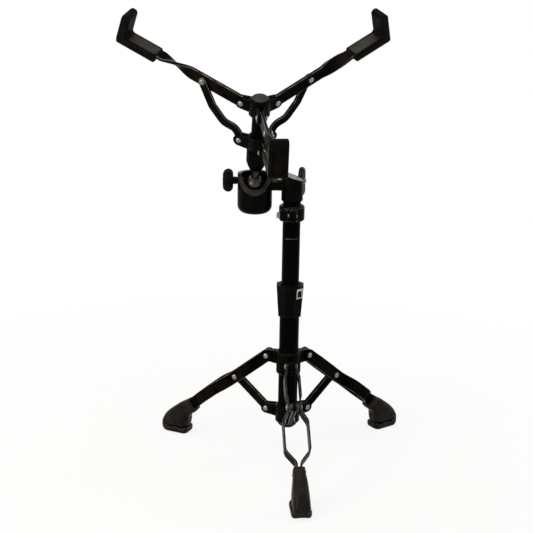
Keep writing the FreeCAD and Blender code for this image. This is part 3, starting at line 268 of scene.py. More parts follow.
# Collar bushing and plate: a plastic guide ring stands a little proud of the
# collar's mouth, and a blank plate with a pale rim and a black field is stuck on
# the facet at the front right.
BUSHING_FOOT = 0.2566
BUSHING_TOP = 0.2686
BUSHING_RADIUS = 0.01625
BUSHING_BEVEL = 0.001
bushing_outline = [
    (LOWER_TUBE_BORE, BUSHING_FOOT), (BUSHING_RADIUS, BUSHING_FOOT),
    (BUSHING_RADIUS, BUSHING_TOP - BUSHING_BEVEL), (BUSHING_RADIUS - BUSHING_BEVEL, BUSHING_TOP),
    (LOWER_TUBE_BORE, BUSHING_TOP)]
fasten("collar_bushing_moulding", eased(turned(bushing_outline), FINE_EDGE, TUBE_AXIS),
       [moulded_plastic], "black_plastic", "base", "collar_bushing")
PLATE_RIM = 0.0018
FIELD_LIFTS = (0.0001, 0.0003)
SQUARE = ((-1, -1), (1, -1), (1, 1), (-1, 1))
satin_plate = coat("satin_plate", ((0.42, 0.41, 0.39), (0.56, 0.55, 0.52)),
                   (0.34, 0.5), (1500, 0.08, 0.0002), metal=0.9, patches=90)
plate = cast("collar_plate", 0)
widest = max(plate.polygons, key=lambda face: face.area * (face.normal.x - face.normal.y > 0))
plate_middle, plate_out = widest.center.copy(), widest.normal.copy()
plate_side = plate_out.cross(Vector((0, 0, 1))).normalized()
reaches = [abs((vertex.co - plate_middle).dot(plate_side)) for vertex in plate.vertices]
heights = [abs(vertex.co.z - plate_middle.z) for vertex in plate.vertices]
half_side, half_height = max(reaches) - PLATE_RIM, max(heights) - PLATE_RIM


def walled(shell, rings, marked=()):
    """Walls from each ring of points to the next, the marked ones in the second finish."""
    for number, (low, high) in enumerate(zip(rings, rings[1:])):
        for here in range(len(low)):
            after = (here + 1) % len(low)
            wall = shell.faces.new((low[here], low[after], high[after], high[here]))
            wall.material_index = 1 if number in marked else 0


field = bmesh.new()
field_rings = [
    [field.verts.new(plate_middle + plate_out * lift - plate_side * across * half_side
                     + Vector((0, 0, upwards * half_height)))
     for across, upwards in SQUARE]
    for lift in FIELD_LIFTS]
field.faces.new(field_rings[0][::-1])
field.faces.new(field_rings[1])
walled(field, field_rings)
fasten("collar_plate_blank", plate, [satin_plate], "pale_plate", "base", "collar_plate")
fasten("collar_plate_field", eased(closed(field, "field"), 0, IN_PLACE), [moulded_plastic],
       "black_plastic", "base")

# Leg struts: one flat steel bar per leg with round ends, from the bracket's
# clevis up to the leg's middle rivet. Gloss black enamel over rolled steel.
LINK_LENGTH = 0.0657
STRUT_HALF_WIDTH = 0.0065
STRUT_THICKNESS = 0.006
STRUT_EDGE = 0.0008
EDGE_STRIP = 0.0006
END_STEPS = 24
LONG_SIDE = 0.006
HOLD_BACK = 0.0015
LEAST_LEAN = 0.35
SIDES = ("front", "right", "left")
bar_enamel = coat("bar_enamel", ((0.0008, 0.0007, 0.0005), (0.0085, 0.0066, 0.0046)),
                  (0.20, 0.34), (500, 0.06, 0.0003), specular=0.006, patches=35)
# Paler, metallic finish of the bars' narrow edge faces: a painted highlight.
bar_edge_highlight = coat("bar_edge_highlight", ((0.006, 0.0054, 0.0045), (0.125, 0.115, 0.098)),
                (0.24, 0.40), (500, 0.06, 0.0003), metal=0.8, patches=75)


def axle(name):
    """The direction that a joint turns about or slides along."""
    return Vector(joints[name]["axis"]).normalized()


def bracket_pivot(side):
    """The place of a leg strut's lower rivet."""
    return pivot("leg_fold" if side == "front" else f"strut_fold_{side}")


def set_up(origin, x_axis, y_axis):
    """The place of a piece whose own X and Y point along two directions of the stand."""
    x_axis, y_axis = x_axis.normalized(), y_axis.normalized()
    turn = Matrix((x_axis, y_axis, x_axis.cross(y_axis))).transposed()
    return Matrix.Translation(origin) @ turn.to_4x4()


def highlight_marked(mesh, width):
    """The mesh with the narrow faces along its edges marked for the second finish, a painted
    highlight.
    """
    for face in mesh.polygons:
        corners = [mesh.vertices[index].co for index in face.vertices]
        if min((a - b).length for a, b in zip(corners, corners[1:] + corners[:1])) < width:
            face.material_index = 1
    return mesh


def drawn_in(outline, depth):
    """The outline with each of its points moved inwards by a depth."""
    area = sum(a.cross(b) for a, b in zip(outline, outline[1:] + outline[:1]))
    side = 1 if area > 0 else -1
    result = []
    for here, point in enumerate(outline):
        before = (point - outline[here - 1]).normalized()
        after = (outline[(here + 1) % len(outline)] - point).normalized()
        normal = Vector((-before.y - after.y, before.x + after.x)) * side
        normal.normalize()
        lean = max(LEAST_LEAN, Vector((-after.y, after.x)).dot(normal) * side)
        result.append(point + normal * (depth / lean))
    return result


def slab(outline, half_width, edge, steps=4):
    """A solid with the outline as its side, across Y, its two rims rounded off."""
    held = []
    for point, after in zip(outline, outline[1:] + outline[:1]):
        held.append(point)
        gap = (after - point).length
        if gap > LONG_SIDE:
            held += [point.lerp(after, HOLD_BACK / gap), point.lerp(after, 1 - HOLD_BACK / gap)]
    shell = bmesh.new()
    turns = [math.pi / 2 * step / steps for step in range(steps + 1)]
    layers = []
    for facing, order in ((-1, turns[::-1]), (1, turns)):
        for turn in order:
            side = facing * (half_width - edge * (1 - math.sin(turn)))
            layers.append([shell.verts.new((point.x, side, point.y))
                           for point in drawn_in(held, edge * (1 - math.cos(turn)))])
    walled(shell, layers)
    shell.faces.new(layers[0])
    shell.faces.new(layers[-1])
    return closed(shell, "slab")


def fasten_bar(name, mesh, strip, place, body, node):
    """Makes a piece of an enamelled bar, its narrow edge faces in the paler finish of a painted
    highlight.
    """
    fasten(name, eased(highlight_marked(mesh, strip), 0, place), [bar_enamel, bar_edge_highlight],
           "black_enamel", body, node)


def bar_with_round_ends(length, half):
    """The outline of a straight bar between two rivets."""
    outline = []
    for centre, start in ((length, -90), (0, 90)):
        for step in range(END_STEPS + 1):
            turn = math.radians(start + 180 * step / END_STEPS)
            outline.append(Vector((centre + half * math.cos(turn), half * math.sin(turn))))
    return outline


for side in SIDES:
    low = bracket_pivot(side)
    strut_place = set_up(low, pivot(f"leg_turn_{side}") - low, -axle(f"leg_turn_{side}"))
    strut_bar = slab(bar_with_round_ends(LINK_LENGTH, STRUT_HALF_WIDTH), STRUT_THICKNESS / 2,
                     STRUT_EDGE)
    fasten_bar(f"leg_strut_{side}_bar", strut_bar, EDGE_STRIP, strut_place,
               f"strut_{side}", f"leg_strut_{side}")

# Leg bars: each leg is a pair of flat strips, close together at the hub, bent
# apart below the middle rivet and shut again in the foot. Bent cold from rolled
# steel with soft edges and pressed into a slight bow, then enamelled black.
LEG_HUB_RISE = 2
BAR_WIDTH = 0.018
BAR_THICKNESS = 0.0026
BAR_EDGE = 0.0006
BAR_BEND = 0.012
BAR_STEP = 0.0012
SMALL_SIDES = 48
BAR_PATH = (
    (0.0, 0.0066), (0.009, 0.0066), (0.020, 0.0105), (0.0507, 0.0105), (0.0577, 0.0087),
    (0.0737, 0.0087), (0.0907, 0.0175), (0.1359, 0.0175), (0.1539, 0.0030), (0.1739, 0.0030))
BOW_RISE = 0.0026
BOW_RISE_ALONG = (0.070, 0.108)
BOW_DROP = 0.0012
BOW_DROP_ALONG = (0.128, 0.160)


def new_tree(name, inputs):
    """An empty node tree with a geometry input, the named size inputs and a geometry output."""
    tree = bpy.data.node_groups.new(name, "GeometryNodeTree")
    tree.interface.new_socket("Geometry", in_out="INPUT", socket_type="NodeSocketGeometry")
    for label, kind in inputs:
        tree.interface.new_socket(label, in_out="INPUT", socket_type=f"NodeSocket{kind}")
    tree.interface.new_socket("Geometry", in_out="OUTPUT", socket_type="NodeSocketGeometry")
    return tree, tree.nodes.new("NodeGroupInput").outputs


def end_tree(tree, shape, finish):
    """Makes a tree's shape real and gives it its finish, as the tree's last two nodes."""
    whole = add(tree, "GeometryNodeRealizeInstances", {"Geometry": shape})["Geometry"]
    painted = add(tree, "GeometryNodeSetMaterial", {"Geometry": whole, "Material": finish})
    add(tree, "NodeGroupOutput", {"Geometry": painted["Geometry"]})
    return tree


def grown(tree, mesh, sizes):
    """The plain mesh that a node tree makes of a path or of points."""
    carrier = carried(mesh)
    maker = carrier.modifiers.new("maker", "NODES")
    maker.node_group = tree
    for socket in tree.interface.items_tree:
        if socket.in_out == "INPUT" and socket.name in sizes:
            maker[socket.identifier] = sizes[socket.name]
    return taken_off(carrier)


def path(points, twists=None):
    """A line of points for a node tree to follow, with a twist at each one."""
    mesh = bpy.data.meshes.new("path")
    mesh.from_pydata([Vector(point).to_3d() for point in points],
                     [(here, here + 1) for here in range(len(points) - 1)], [])
    turns = mesh.attributes.new("twist", "FLOAT", "POINT")
    turns.data.foreach_set("value", twists or [0.0] * len(points))
    return mesh


def bar_tree():
    """A flat bar along a path: bends rounded, edges eased, turned as the path's twist says."""
    tree, given = new_tree("flat_bar", [
        ("Width", "Float"), ("Thickness", "Float"), ("Edge", "Float"), ("Bend", "Float"),
        ("Step", "Float"), ("Finish", "Material")])
    line = add(tree, "GeometryNodeMeshToCurve", {"Mesh": given["Geometry"]})["Curve"]
    line = add(tree, "GeometryNodeFilletCurve", {
        "Curve": line, "Radius": given["Bend"], "Count": 8, "Limit Radius": True},
        mode="POLY")["Curve"]
    line = add(tree, "GeometryNodeResampleCurve", {
        "Curve": line, "Length": given["Step"]}, mode="LENGTH")["Curve"]
    line = add(tree, "GeometryNodeSetCurveNormal", {"Curve": line}, mode="Z_UP")["Curve"]
    twist = add(tree, "GeometryNodeInputNamedAttribute", {"Name": "twist"})["Attribute"]
    line = add(tree, "GeometryNodeSetCurveTilt", {"Curve": line, "Tilt": twist})["Curve"]
    flat = add(tree, "GeometryNodeCurvePrimitiveQuadrilateral", {
        "Width": given["Thickness"], "Height": given["Width"]})["Curve"]
    flat = add(tree, "GeometryNodeFilletCurve", {
        "Curve": flat, "Radius": given["Edge"], "Count": 3}, mode="POLY")["Curve"]
    bar = add(tree, "GeometryNodeCurveToMesh", {
        "Curve": line, "Profile Curve": flat, "Fill Caps": True})["Mesh"]
    smooth = add(tree, "GeometryNodeSetShadeSmooth", {"Geometry": bar})["Geometry"]
    return end_tree(tree, smooth, given["Finish"])


flat_bar = bar_tree()


def bar_along(line, width, thickness, edge, bend, step):
    """A flat bar of the given sizes along a line."""
    return grown(flat_bar, line, {
        "Width": width, "Thickness": thickness, "Edge": edge, "Bend": bend, "Step": step,
        "Finish": bar_enamel})


def joined(*meshes):
    """Several shells as one mesh."""
    shell = bmesh.new()
    for mesh in meshes:
        shell.from_mesh(mesh)
        bpy.data.meshes.remove(mesh)
    whole = bpy.data.meshes.new("joined")
    shell.to_mesh(whole)
    shell.free()
    return whole


def disc(radius, half_thickness, edge, x=0.0, y=0.0):
    """A round eye across Y, at a place along a bar."""
    eye = turned([
        (0, -half_thickness), (radius - edge, -half_thickness), (radius, edge - half_thickness),
        (radius, half_thickness - edge), (radius - edge, half_thickness), (0, half_thickness)],
        SMALL_SIDES)
    eye.transform(Matrix.Translation((x, y, 0)) @ Matrix.Rotation(math.pi / 2, 4, "X"))
    return eye


def ramp(value, start, end):
    """A soft rise from nought at the start to one at the end."""
    share = min(1.0, max(0.0, (value - start) / (end - start)))
    return share * share * (3 - 2 * share)


def bowed(mesh):
    """A bar pressed upwards into a slight bow between the strut's rivet and the foot."""
    for vertex in mesh.vertices:
        along = vertex.co.x
        vertex.co.z += (BOW_RISE * ramp(along, *BOW_RISE_ALONG)
                        - BOW_DROP * ramp(along, *BOW_DROP_ALONG))
    return mesh


leg_places = {}
for side in SIDES:
    low, middle = bracket_pivot(side), pivot(f"leg_turn_{side}")
    high = low + Vector((0, 0, LEG_HUB_RISE * (middle.z - low.z)))
    leg_places[side] = set_up(high, middle - high, -axle(f"leg_turn_{side}"))
    for letter, facing in (("a", 1), ("b", -1)):
        strip = bar_along(path([(x, facing * y) for x, y in BAR_PATH]),
                          BAR_WIDTH, BAR_THICKNESS, BAR_EDGE, BAR_BEND, BAR_STEP)
        eye = disc(BAR_WIDTH / 2, BAR_THICKNESS / 2, BAR_EDGE, 0.0, facing * BAR_PATH[0][1])
        fasten_bar(f"leg_bar_{side}_{letter}_strip", bowed(joined(strip, eye)), EDGE_STRIP,
                   leg_places[side], f"leg_{side}", f"leg_bar_{side}_{letter}")

# Rivets: domed steel rivets in satin nickel hold every pivot. Each is a shank
# with a head at both ends, upset over the outer bars or ears.
RIVET_RADIUS = 0.0025
RIVET_HEAD_RADIUS = 0.0042
RIVET_HEAD_HEIGHT = 0.0019
BRACKET_GRIP = 0.0118
HUB_GRIP = 0.0159
LEG_GRIP = 0.0201
satin_nickel = coat("satin_nickel", ((0.15, 0.145, 0.135), (0.28, 0.27, 0.25)),
                    (0.26, 0.42), (2200, 0.10, 0.0002), metal=1.0, patches=260)


def rivet_tree():
    """Shanks along short lines, with a domed head on each end of a line."""
    tree, given = new_tree("rivets", [
        ("Shank Radius", "Float"), ("Head Radius", "Float"), ("Head Height", "Float"),
        ("Finish", "Material")])
    line = add(tree, "GeometryNodeMeshToCurve", {"Mesh": given["Geometry"]})["Curve"]
    round_bar = add(tree, "GeometryNodeCurvePrimitiveCircle", {
        "Resolution": 24, "Radius": given["Shank Radius"]})["Curve"]
    shank = add(tree, "GeometryNodeCurveToMesh", {
        "Curve": line, "Profile Curve": round_bar, "Fill Caps": True})["Mesh"]
    ball = add(tree, "GeometryNodeMeshUVSphere", {
        "Segments": 32, "Rings": 16, "Radius": 1.0})["Mesh"]
    girth = add(tree, "ShaderNodeCombineXYZ", {
        "X": given["Head Radius"], "Y": given["Head Radius"], "Z": given["Head Height"]})["Vector"]
    dome = add(tree, "GeometryNodeTransform", {"Geometry": ball, "Scale": girth})["Geometry"]
    ends = add(tree, "GeometryNodeCurveEndpointSelection")["Selection"]
    along = add(tree, "GeometryNodeInputTangent")["Tangent"]
    aim = add(tree, "FunctionNodeAlignRotationToVector", {"Vector": along}, axis="Z")["Rotation"]
    heads = add(tree, "GeometryNodeInstanceOnPoints", {
        "Points": line, "Selection": ends, "Instance": dome, "Rotation": aim})["Instances"]
    both = add(tree, "GeometryNodeJoinGeometry", {"Geometry": [shank, heads]})["Geometry"]
    return end_tree(tree, both, given["Finish"])


riveting = rivet_tree()


def rivets(name, shanks, body, node):
    """Rivets of one body, from (middle, direction, length) of each shank."""
    mesh = bpy.data.meshes.new("shanks")
    ends = []
    for middle, along, length in shanks:
        ends += [middle - along * length / 2, middle + along * length / 2]
    mesh.from_pydata(ends, [(here, here + 1) for here in range(0, len(ends), 2)], [])
    done = grown(riveting, mesh, {
        "Shank Radius": RIVET_RADIUS, "Head Radius": RIVET_HEAD_RADIUS,
        "Head Height": RIVET_HEAD_HEIGHT, "Finish": satin_nickel})
    fasten(name, eased(done, 0, IN_PLACE), [satin_nickel], "satin_nickel", body, node)


rivets("bracket_rivet_heads", [
    (bracket_pivot(side), axle(f"leg_turn_{side}"), BRACKET_GRIP) for side in SIDES],
    "base", "bracket_rivets")
rivets("hub_rivet_heads", [
    (leg_places[side].translation, axle(f"leg_turn_{side}"), HUB_GRIP) for side in SIDES],
    "leg_hub", "hub_rivets")
for side in SIDES:
    rivets(f"leg_rivet_{side}_head", [
        (pivot(f"leg_turn_{side}"), axle(f"leg_turn_{side}"), LEG_GRIP)],
        f"leg_{side}", f"leg_rivet_{side}")

# Leg spacers: two turned sleeves of bare steel on each middle rivet keep the bars
# clear of the strut between them.
SPACER_RADIUS = 0.0055
SPACER_START = 0.00325
SPACER_END = 0.00735
bare_steel = coat("bare_steel", ((0.018, 0.016, 0.013), (0.085, 0.078, 0.066)),
                  (0.30, 0.48), (1600, 0.10, 0.0002), metal=1.0, patches=180)
for side in SIDES:
    sleeves = []
    for facing in (1, -1):
        sleeve = turned(tube_outline(RIVET_RADIUS, SPACER_RADIUS, SPACER_START, SPACER_END),
                        SMALL_SIDES)
        sleeve.transform(Matrix.Translation((LINK_LENGTH, 0, 0))
                         @ Matrix.Rotation(facing * math.pi / 2, 4, "X"))
        sleeves.append(sleeve)
    fasten(f"leg_spacers_{side}_sleeves", eased(joined(*sleeves), FINE_EDGE, leg_places[side]),
           [bare_steel], "bare_steel", f"leg_{side}", f"leg_spacers_{side}")

# Feet: moulded rubber boots pushed over the bars' ends, round in section, with a full
# toe, a drawn-in ankle, a rib behind the mouth and a round boss on each side. A
# wider sole with a waved upper edge wraps the bottom and the toe. The rib and the
# sole's upper edge are painted in a paler rubber, a painted highlight.
# Place along the leg, inner and outer reach, half width and squareness of each section
BOOT_SECTIONS = (
    (0.0784, -0.0096, 0.0096, 0.0074, 5.0), (0.0776, -0.0107, 0.0107, 0.0084, 5.0),
    (0.0734, -0.0109, 0.0110, 0.0086, 4.6), (0.0726, -0.0115, 0.0116, 0.0092, 4.6),
    (0.0706, -0.0115, 0.0117, 0.0092, 4.6), (0.0698, -0.0109, 0.0114, 0.0088, 4.4),
    (0.0630, -0.0112, 0.0128, 0.0098, 4.0), (0.0580, -0.0130, 0.0135, 0.0105, 3.6),
    (0.0520, -0.0190, 0.0138, 0.0113, 3.4), (0.0450, -0.0240, 0.0141, 0.0120, 3.2),
    (0.0380, -0.0240, 0.0143, 0.0124, 3.0), (0.0320, -0.0200, 0.0140, 0.0125, 2.8),
    (0.0260, -0.0145, 0.0131, 0.0124, 2.7), (0.0200, -0.0088, 0.0110, 0.0119, 2.6),
    (0.0155, -0.0052, 0.0087, 0.0109, 2.5), (0.0130, -0.0028, 0.0066, 0.0092, 2.4),
    (0.0116, -0.0008, 0.0048, 0.0066, 2.3), (0.0110, 0.0008, 0.0032, 0.0036, 2.2))
BOOT_SIDES = 56
BOOT_STEPS = 4
# Span along the leg painted in the paler rubber at the rib: a painted highlight.
BOOT_RIB_HIGHLIGHT = (0.0705, 0.0727)
BOOT_TIP = (0.0108, 0.0020)
BOOT_LIFT = 0.0012
BOSS_RADIUS = 0.0046
BOSS_HALF_WIDTH = 0.0126
BOSS_EDGE = 0.0016
BOSS_PLACE = (-0.031, 0, 0.0200)
SOLE_HALF_WIDTH = 0.0144
SOLE_BACK = -0.0520
SOLE_FRONT = -0.0046
SOLE_HEEL_ROUND = 0.008
SOLE_TOE_ROUND = 0.0136
SOLE_ROUND_STEPS = 12
SOLE_SIDE_STEPS = 6
SOLE_TOP = 0.0092
SOLE_WAVE = 0.0011
SOLE_WAVES = 2.5
SOLE_TOE_RISE = 0.0026
SOLE_TOE_LIFT = 0.0045
SOLE_TOE_REACH = 0.018
# Inset, lower or upper edge, and lift of each layer
SOLE_LAYERS = (
    (0.0034, 0, 0.0), (0.0012, 0, 0.0010), (0.0003, 0, 0.0028), (0.0, 0, 0.0044),
    (0.0, 1, -0.0016), (0.0004, 1, -0.0006), (0.0013, 1, 0.0), (0.0040, 1, -0.0002))
# Layers of the sole's upper edge painted in the paler rubber: a painted highlight.
SOLE_HIGHLIT = (4, 5)
foot_rubber = coat("foot_rubber", ((0.0020, 0.0016, 0.0012), (0.016, 0.0120, 0.0085)),
                   (0.32, 0.50), (1100, 0.22, 0.0004), specular=0.08, patches=75)
# Paler rubber on the feet's rib and sole edge and on the grips' pads and rims: a painted highlight.
rubber_highlight = coat("rubber_highlight", ((0.007, 0.006, 0.0045), (0.034, 0.029, 0.022)),
                   (0.42, 0.62), (1100, 0.22, 0.0004), specular=0.12, patches=70)


def rounded(corners, steps=8):
    """An outline of (x, y, radius) corners, each turned into an arc."""
    outline = []
    for here, (x, y, radius) in enumerate(corners):
        corner = Vector((x, y))
        before = (Vector(corners[here - 1][:2]) - corner).normalized()
        after = (Vector(corners[(here + 1) % len(corners)][:2]) - corner).normalized()
        if radius == 0:
            outline.append(corner)
            continue
        half = before.angle(after) / 2
        centre = corner + (before + after).normalized() * (radius / math.sin(half))
        start = corner + before * (radius / math.tan(half)) - centre
        end = corner + after * (radius / math.tan(half)) - centre
        first = math.atan2(start.y, start.x)
        sweep = math.remainder(math.atan2(end.y, end.x) - first, math.tau)
        for step in range(steps + 1):
            turn = first + sweep * step / steps
            outline.append(centre + Vector((math.cos(turn), math.sin(turn))) * radius)
    return outline


def flowing(rows, steps):
    """Rows of sizes with smooth ones set between them, passing through each."""
    smooth = []
    for here in range(len(rows) - 1):
        before, start, end, after = (
            rows[max(here - 1, 0)], rows[here], rows[here + 1], rows[min(here + 2, len(rows) - 1)])
        for step in range(steps):
            t = step / steps
            smooth.append([
                0.5 * (2 * b + (c - a) * t + (2 * a - 5 * b + 4 * c - d) * t * t
                       + (3 * b - a - 3 * c + d) * t ** 3)
                for a, b, c, d in zip(before, start, end, after)])
    return smooth + [list(rows[-1])]


def boot_shell(lean):
    """The boot from its mouth to its toe, in sections square to the leg that lean with it."""
    up = Vector((-math.sin(lean), math.cos(lean)))
    out = Vector((math.cos(lean), math.sin(lean)))
    shell = bmesh.new()
    rings, heights = [], []
    for along, lower, upper, half_width, square in flowing(BOOT_SECTIONS, BOOT_STEPS):
        lower = max(lower, BOOT_LIFT - along / math.tan(lean))
        ring = []
        for step in range(BOOT_SIDES):
            turn = math.tau * step / BOOT_SIDES
            rise, side = math.cos(turn), math.sin(turn)
            rise = math.copysign(abs(rise) ** (2 / square), rise)
            side = math.copysign(abs(side) ** (2 / square), side)
            place = up * along + out * ((lower + upper) / 2 + (upper - lower) / 2 * rise)
            ring.append(shell.verts.new((place.x, half_width * side, place.y)))
        rings.append(ring)
        heights.append(along)
    middles = [(start + end) / 2 for start, end in zip(heights, heights[1:])]
    walled(shell, rings, [number for number, middle in enumerate(middles)
                          if BOOT_RIB_HIGHLIGHT[0] < middle < BOOT_RIB_HIGHLIGHT[1]])
    tip = up * BOOT_TIP[0] + out * BOOT_TIP[1]
    pole = shell.verts.new((tip.x, 0, tip.y))
    for here in range(BOOT_SIDES):
        shell.faces.new((rings[-1][here], rings[-1][(here + 1) % BOOT_SIDES], pole))
    shell.faces.new(rings[0])
    return closed(shell, "boot")


def sole_shell():
    """A band around the foot's plan that rises with the toe, its upper edge in waves."""
    plan = rounded([
        (SOLE_BACK, -SOLE_HALF_WIDTH, SOLE_HEEL_ROUND),
        (SOLE_FRONT, -SOLE_HALF_WIDTH, SOLE_TOE_ROUND),
        (SOLE_FRONT, SOLE_HALF_WIDTH, SOLE_TOE_ROUND),
        (SOLE_BACK, SOLE_HALF_WIDTH, SOLE_HEEL_ROUND)], SOLE_ROUND_STEPS)
    plan = [end.lerp(start, step / SOLE_SIDE_STEPS)
            for start, end in zip(plan, plan[-1:] + plan[:-1]) for step in range(SOLE_SIDE_STEPS)]
    shell = bmesh.new()
    layers = []
    for depth, top, lift in SOLE_LAYERS:
        ring = []
        for point, outer in zip(drawn_in(plan, depth), plan):
            toe = max(0.0, 1 - (SOLE_FRONT - outer.x) / SOLE_TOE_REACH)
            share = (outer.x - SOLE_BACK) / (SOLE_FRONT - SOLE_BACK)
            under = SOLE_TOE_LIFT * toe ** 3
            wave = SOLE_WAVE * math.cos(share * math.tau * SOLE_WAVES)
            over = SOLE_TOP + wave * (1 - toe) + SOLE_TOE_RISE * toe
            ring.append(shell.verts.new((point.x, point.y, (over if top else under) + lift)))
        layers.append(ring)
    walled(shell, layers, SOLE_HIGHLIT)
    caps = [shell.faces.new(layers[0]), shell.faces.new(layers[-1])]
    bmesh.ops.triangulate(shell, faces=caps, ngon_method="EAR_CLIP")
    return closed(shell, "sole")


for side in SIDES:
    down = leg_places[side].col[0].to_3d()
    ankle = leg_places[side].translation
    floor_point = ankle - down * (ankle.z / down.z)
    outward = Vector((down.x, down.y, 0))
    lean = math.atan2(outward.length, -down.z)
    foot_place = set_up(floor_point, outward, leg_places[side].col[1].to_3d())
    boss = disc(BOSS_RADIUS, BOSS_HALF_WIDTH, BOSS_EDGE)
    boss.transform(Matrix.Translation(BOSS_PLACE))
    boot = joined(boot_shell(lean), sole_shell(), boss)
    fasten(f"foot_{side}_boot", eased(boot, 0, foot_place), [foot_rubber, rubber_highlight],
           "black_rubber", f"leg_{side}", f"foot_{side}")

# Wing bolts: cast wings on a plain bolt, enamelled black with a brown tone. One
# clamps the height collar, one locks the leg hub and one locks the tilter.
WING_HALF_THICKNESS = 0.0040
WING_EDGE = 0.0032
WING_EDGE_STEPS = 6
WING_OUTLINE = (
    (0.0, 0.0012, 0.0), (0.0080, 0.0014, 0.010), (0.0206, 0.0048, 0.0042),
    (0.0206, 0.0112, 0.0042), (0.0150, 0.0146, 0.008), (0.0, 0.0142, 0.0))
WING_HUB = (
    (0, -0.004), (0.003, -0.004), (0.003, 0.0003), (0.0065, 0.0003), (0.0063, 0.003),
    (0.0052, 0.0123), (0, 0.0123))
WING_BOLTS = (
    ("height_wing_bolt", "height_bolt_turn"), ("hub_wing_bolt", "hub_bolt_turn"),
    ("tilter_wing_bolt", "tilter_bolt_turn"))
wing_enamel = coat("wing_enamel", ((0.012, 0.006, 0.004), (0.036, 0.017, 0.011)),
                   (0.18, 0.30), (600, 0.06, 0.0003), specular=0.12)


def wing_shell():
    """Two rounded wings and the turned hub between them, above the face at zero height."""
    half = [Vector(point) for point in rounded(WING_OUTLINE)]
    mirrored = [Vector((-point.x, point.y)) for point in reversed(half[1:-1])]
    wings = slab(half + mirrored, WING_HALF_THICKNESS, WING_EDGE, WING_EDGE_STEPS)
    return joined(wings, turned(WING_HUB, SMALL_SIDES))


for bolt, joint in WING_BOLTS:
    upright = Vector((0, 0, -1))
    wing_place = set_up(pivot(joint), upright, axle(joint).cross(upright))
    fasten(f"{bolt}_wings", eased(wing_shell(), 0, wing_place), [wing_enamel],
           "wing_black", bolt, bolt)

# Tilter washer: a thin plastic washer between the post's boss and the cup's neck,
# loose on the cup's stem.
WASHER_RADIUS = 0.0089
WASHER_BORE = 0.0072
WASHER_HALF = 0.0001
WASHER_PLACE = Vector((-0.02115, 0, 0.414))
washer = turned(tube_outline(WASHER_BORE, WASHER_RADIUS, -WASHER_HALF, WASHER_HALF))
washer_place = set_up(TUBE_AXIS.translation + WASHER_PLACE, Vector((0, 1, 0)), Vector((0, 0, 1)))
fasten("tilter_washer_ring", eased(washer, 0, washer_place), [moulded_plastic],
       "black_plastic", "tilter_post")

# Upper tube: steel tube in gloss black that slides in the lower one, with one
# fine line scribed round it. Only across its front is the line painted in bare steel:
# bare metal, and a painted highlight where the light catches it.
UPPER_TUBE_FOOT = 0.145
UPPER_TUBE_TOP = 0.398
UPPER_TUBE_RADIUS = 0.0127
UPPER_TUBE_BORE = 0.0112
LINE_HEIGHT = 0.3376
LINE_HALF = 0.0006
LINE_RADIUS = UPPER_TUBE_RADIUS - 0.0004
LINE_BACK = -0.0085
upper_tube_outline = [
    (UPPER_TUBE_BORE, UPPER_TUBE_FOOT), (UPPER_TUBE_RADIUS, UPPER_TUBE_FOOT),
    (UPPER_TUBE_RADIUS, LINE_HEIGHT - LINE_HALF), (LINE_RADIUS, LINE_HEIGHT - LINE_HALF / 2),
    (LINE_RADIUS, LINE_HEIGHT + LINE_HALF / 2), (UPPER_TUBE_RADIUS, LINE_HEIGHT + LINE_HALF),
    (UPPER_TUBE_RADIUS, UPPER_TUBE_TOP), (UPPER_TUBE_BORE, UPPER_TUBE_TOP)]
upper_tube_mesh = eased(turned(upper_tube_outline), 0, TUBE_AXIS)
# Only the groove's faces at the front get bare steel: a painted highlight.
for face in upper_tube_mesh.polygons:
    in_front = face.center.y - TUBE_AXIS.translation.y < LINE_BACK
    if in_front and abs(face.center.z - LINE_HEIGHT) < LINE_HALF:
        face.material_index = 1
fasten("upper_tube_steel", upper_tube_mesh, [tube_enamel, bare_steel], "black_tube",
       "upper_tube", "upper_tube")

# Memory lock screw: a bare square-headed screw that draws the lock's lugs
# together, turned with a drum key.
LOCK_SCREW_EDGE = 0.0005
fasten("memory_lock_screw_bare", cast("memory_lock_screw", LOCK_SCREW_EDGE), [satin_nickel],
       "satin_nickel", "memory_lock", "memory_lock_screw")

# Ball seat, knob and ball: a plastic seat in the cup carries a bare steel ball,
# and a lobed plastic knob on a stud clamps it from the left.
fasten("ball_seat_moulding", cast("ball_seat", FINE_EDGE), [moulded_plastic], "black_plastic",
       "cup", "ball_seat")
KNOB_FACE = 0.0306
KNOB_BACK = 0.0451
KNOB_RADIUS = 0.0165
KNOB_SIDES = 144
KNOB_LOBES = 8
KNOB_LOBE_DEPTH = 0.17
KNOB_DISH = 0.0008
KNOB_RINGS = (
    (0.0080, 0.0), (0.0050, 0.0003), (0.0026, 0.0016), (0.0009, 0.0036), (0.0, 0.0066),
    (0.0006, 0.0096), (0.0021, 0.0121), (0.0044, 0.0139), (0.0068, 0.0145), (0.0082, 0.0141))
STUD_END = 0.0133
STUD_RADIUS = 0.004
STUD_COLLAR = 0.0248
STUD_COLLAR_RADIUS = 0.0053
STUD_TOP = KNOB_FACE + 0.001
SHARP_ONLY = 50
upright = Vector((0, 0, 1))
knob_place = set_up(pivot("knob_turn"), upright, axle("knob_turn").cross(upright))
knob_outline = [(KNOB_RADIUS - inset, KNOB_FACE + height) for inset, height in KNOB_RINGS]
knob_grip = turned([(0, KNOB_FACE), *knob_outline, (0, KNOB_BACK - KNOB_DISH)],
                   KNOB_SIDES, KNOB_LOBES, KNOB_LOBE_DEPTH)
stud = turned([
    (0, STUD_END), (STUD_RADIUS, STUD_END), (STUD_RADIUS, STUD_COLLAR),
    (STUD_COLLAR_RADIUS, STUD_COLLAR), (STUD_COLLAR_RADIUS, STUD_TOP), (0, STUD_TOP)],
    SMALL_SIDES)
fasten("ball_knob_moulding", eased(joined(knob_grip, stud), FINE_EDGE, knob_place, SHARP_ONLY),
       [moulded_plastic], "black_plastic", "ball_knob", "ball_knob")
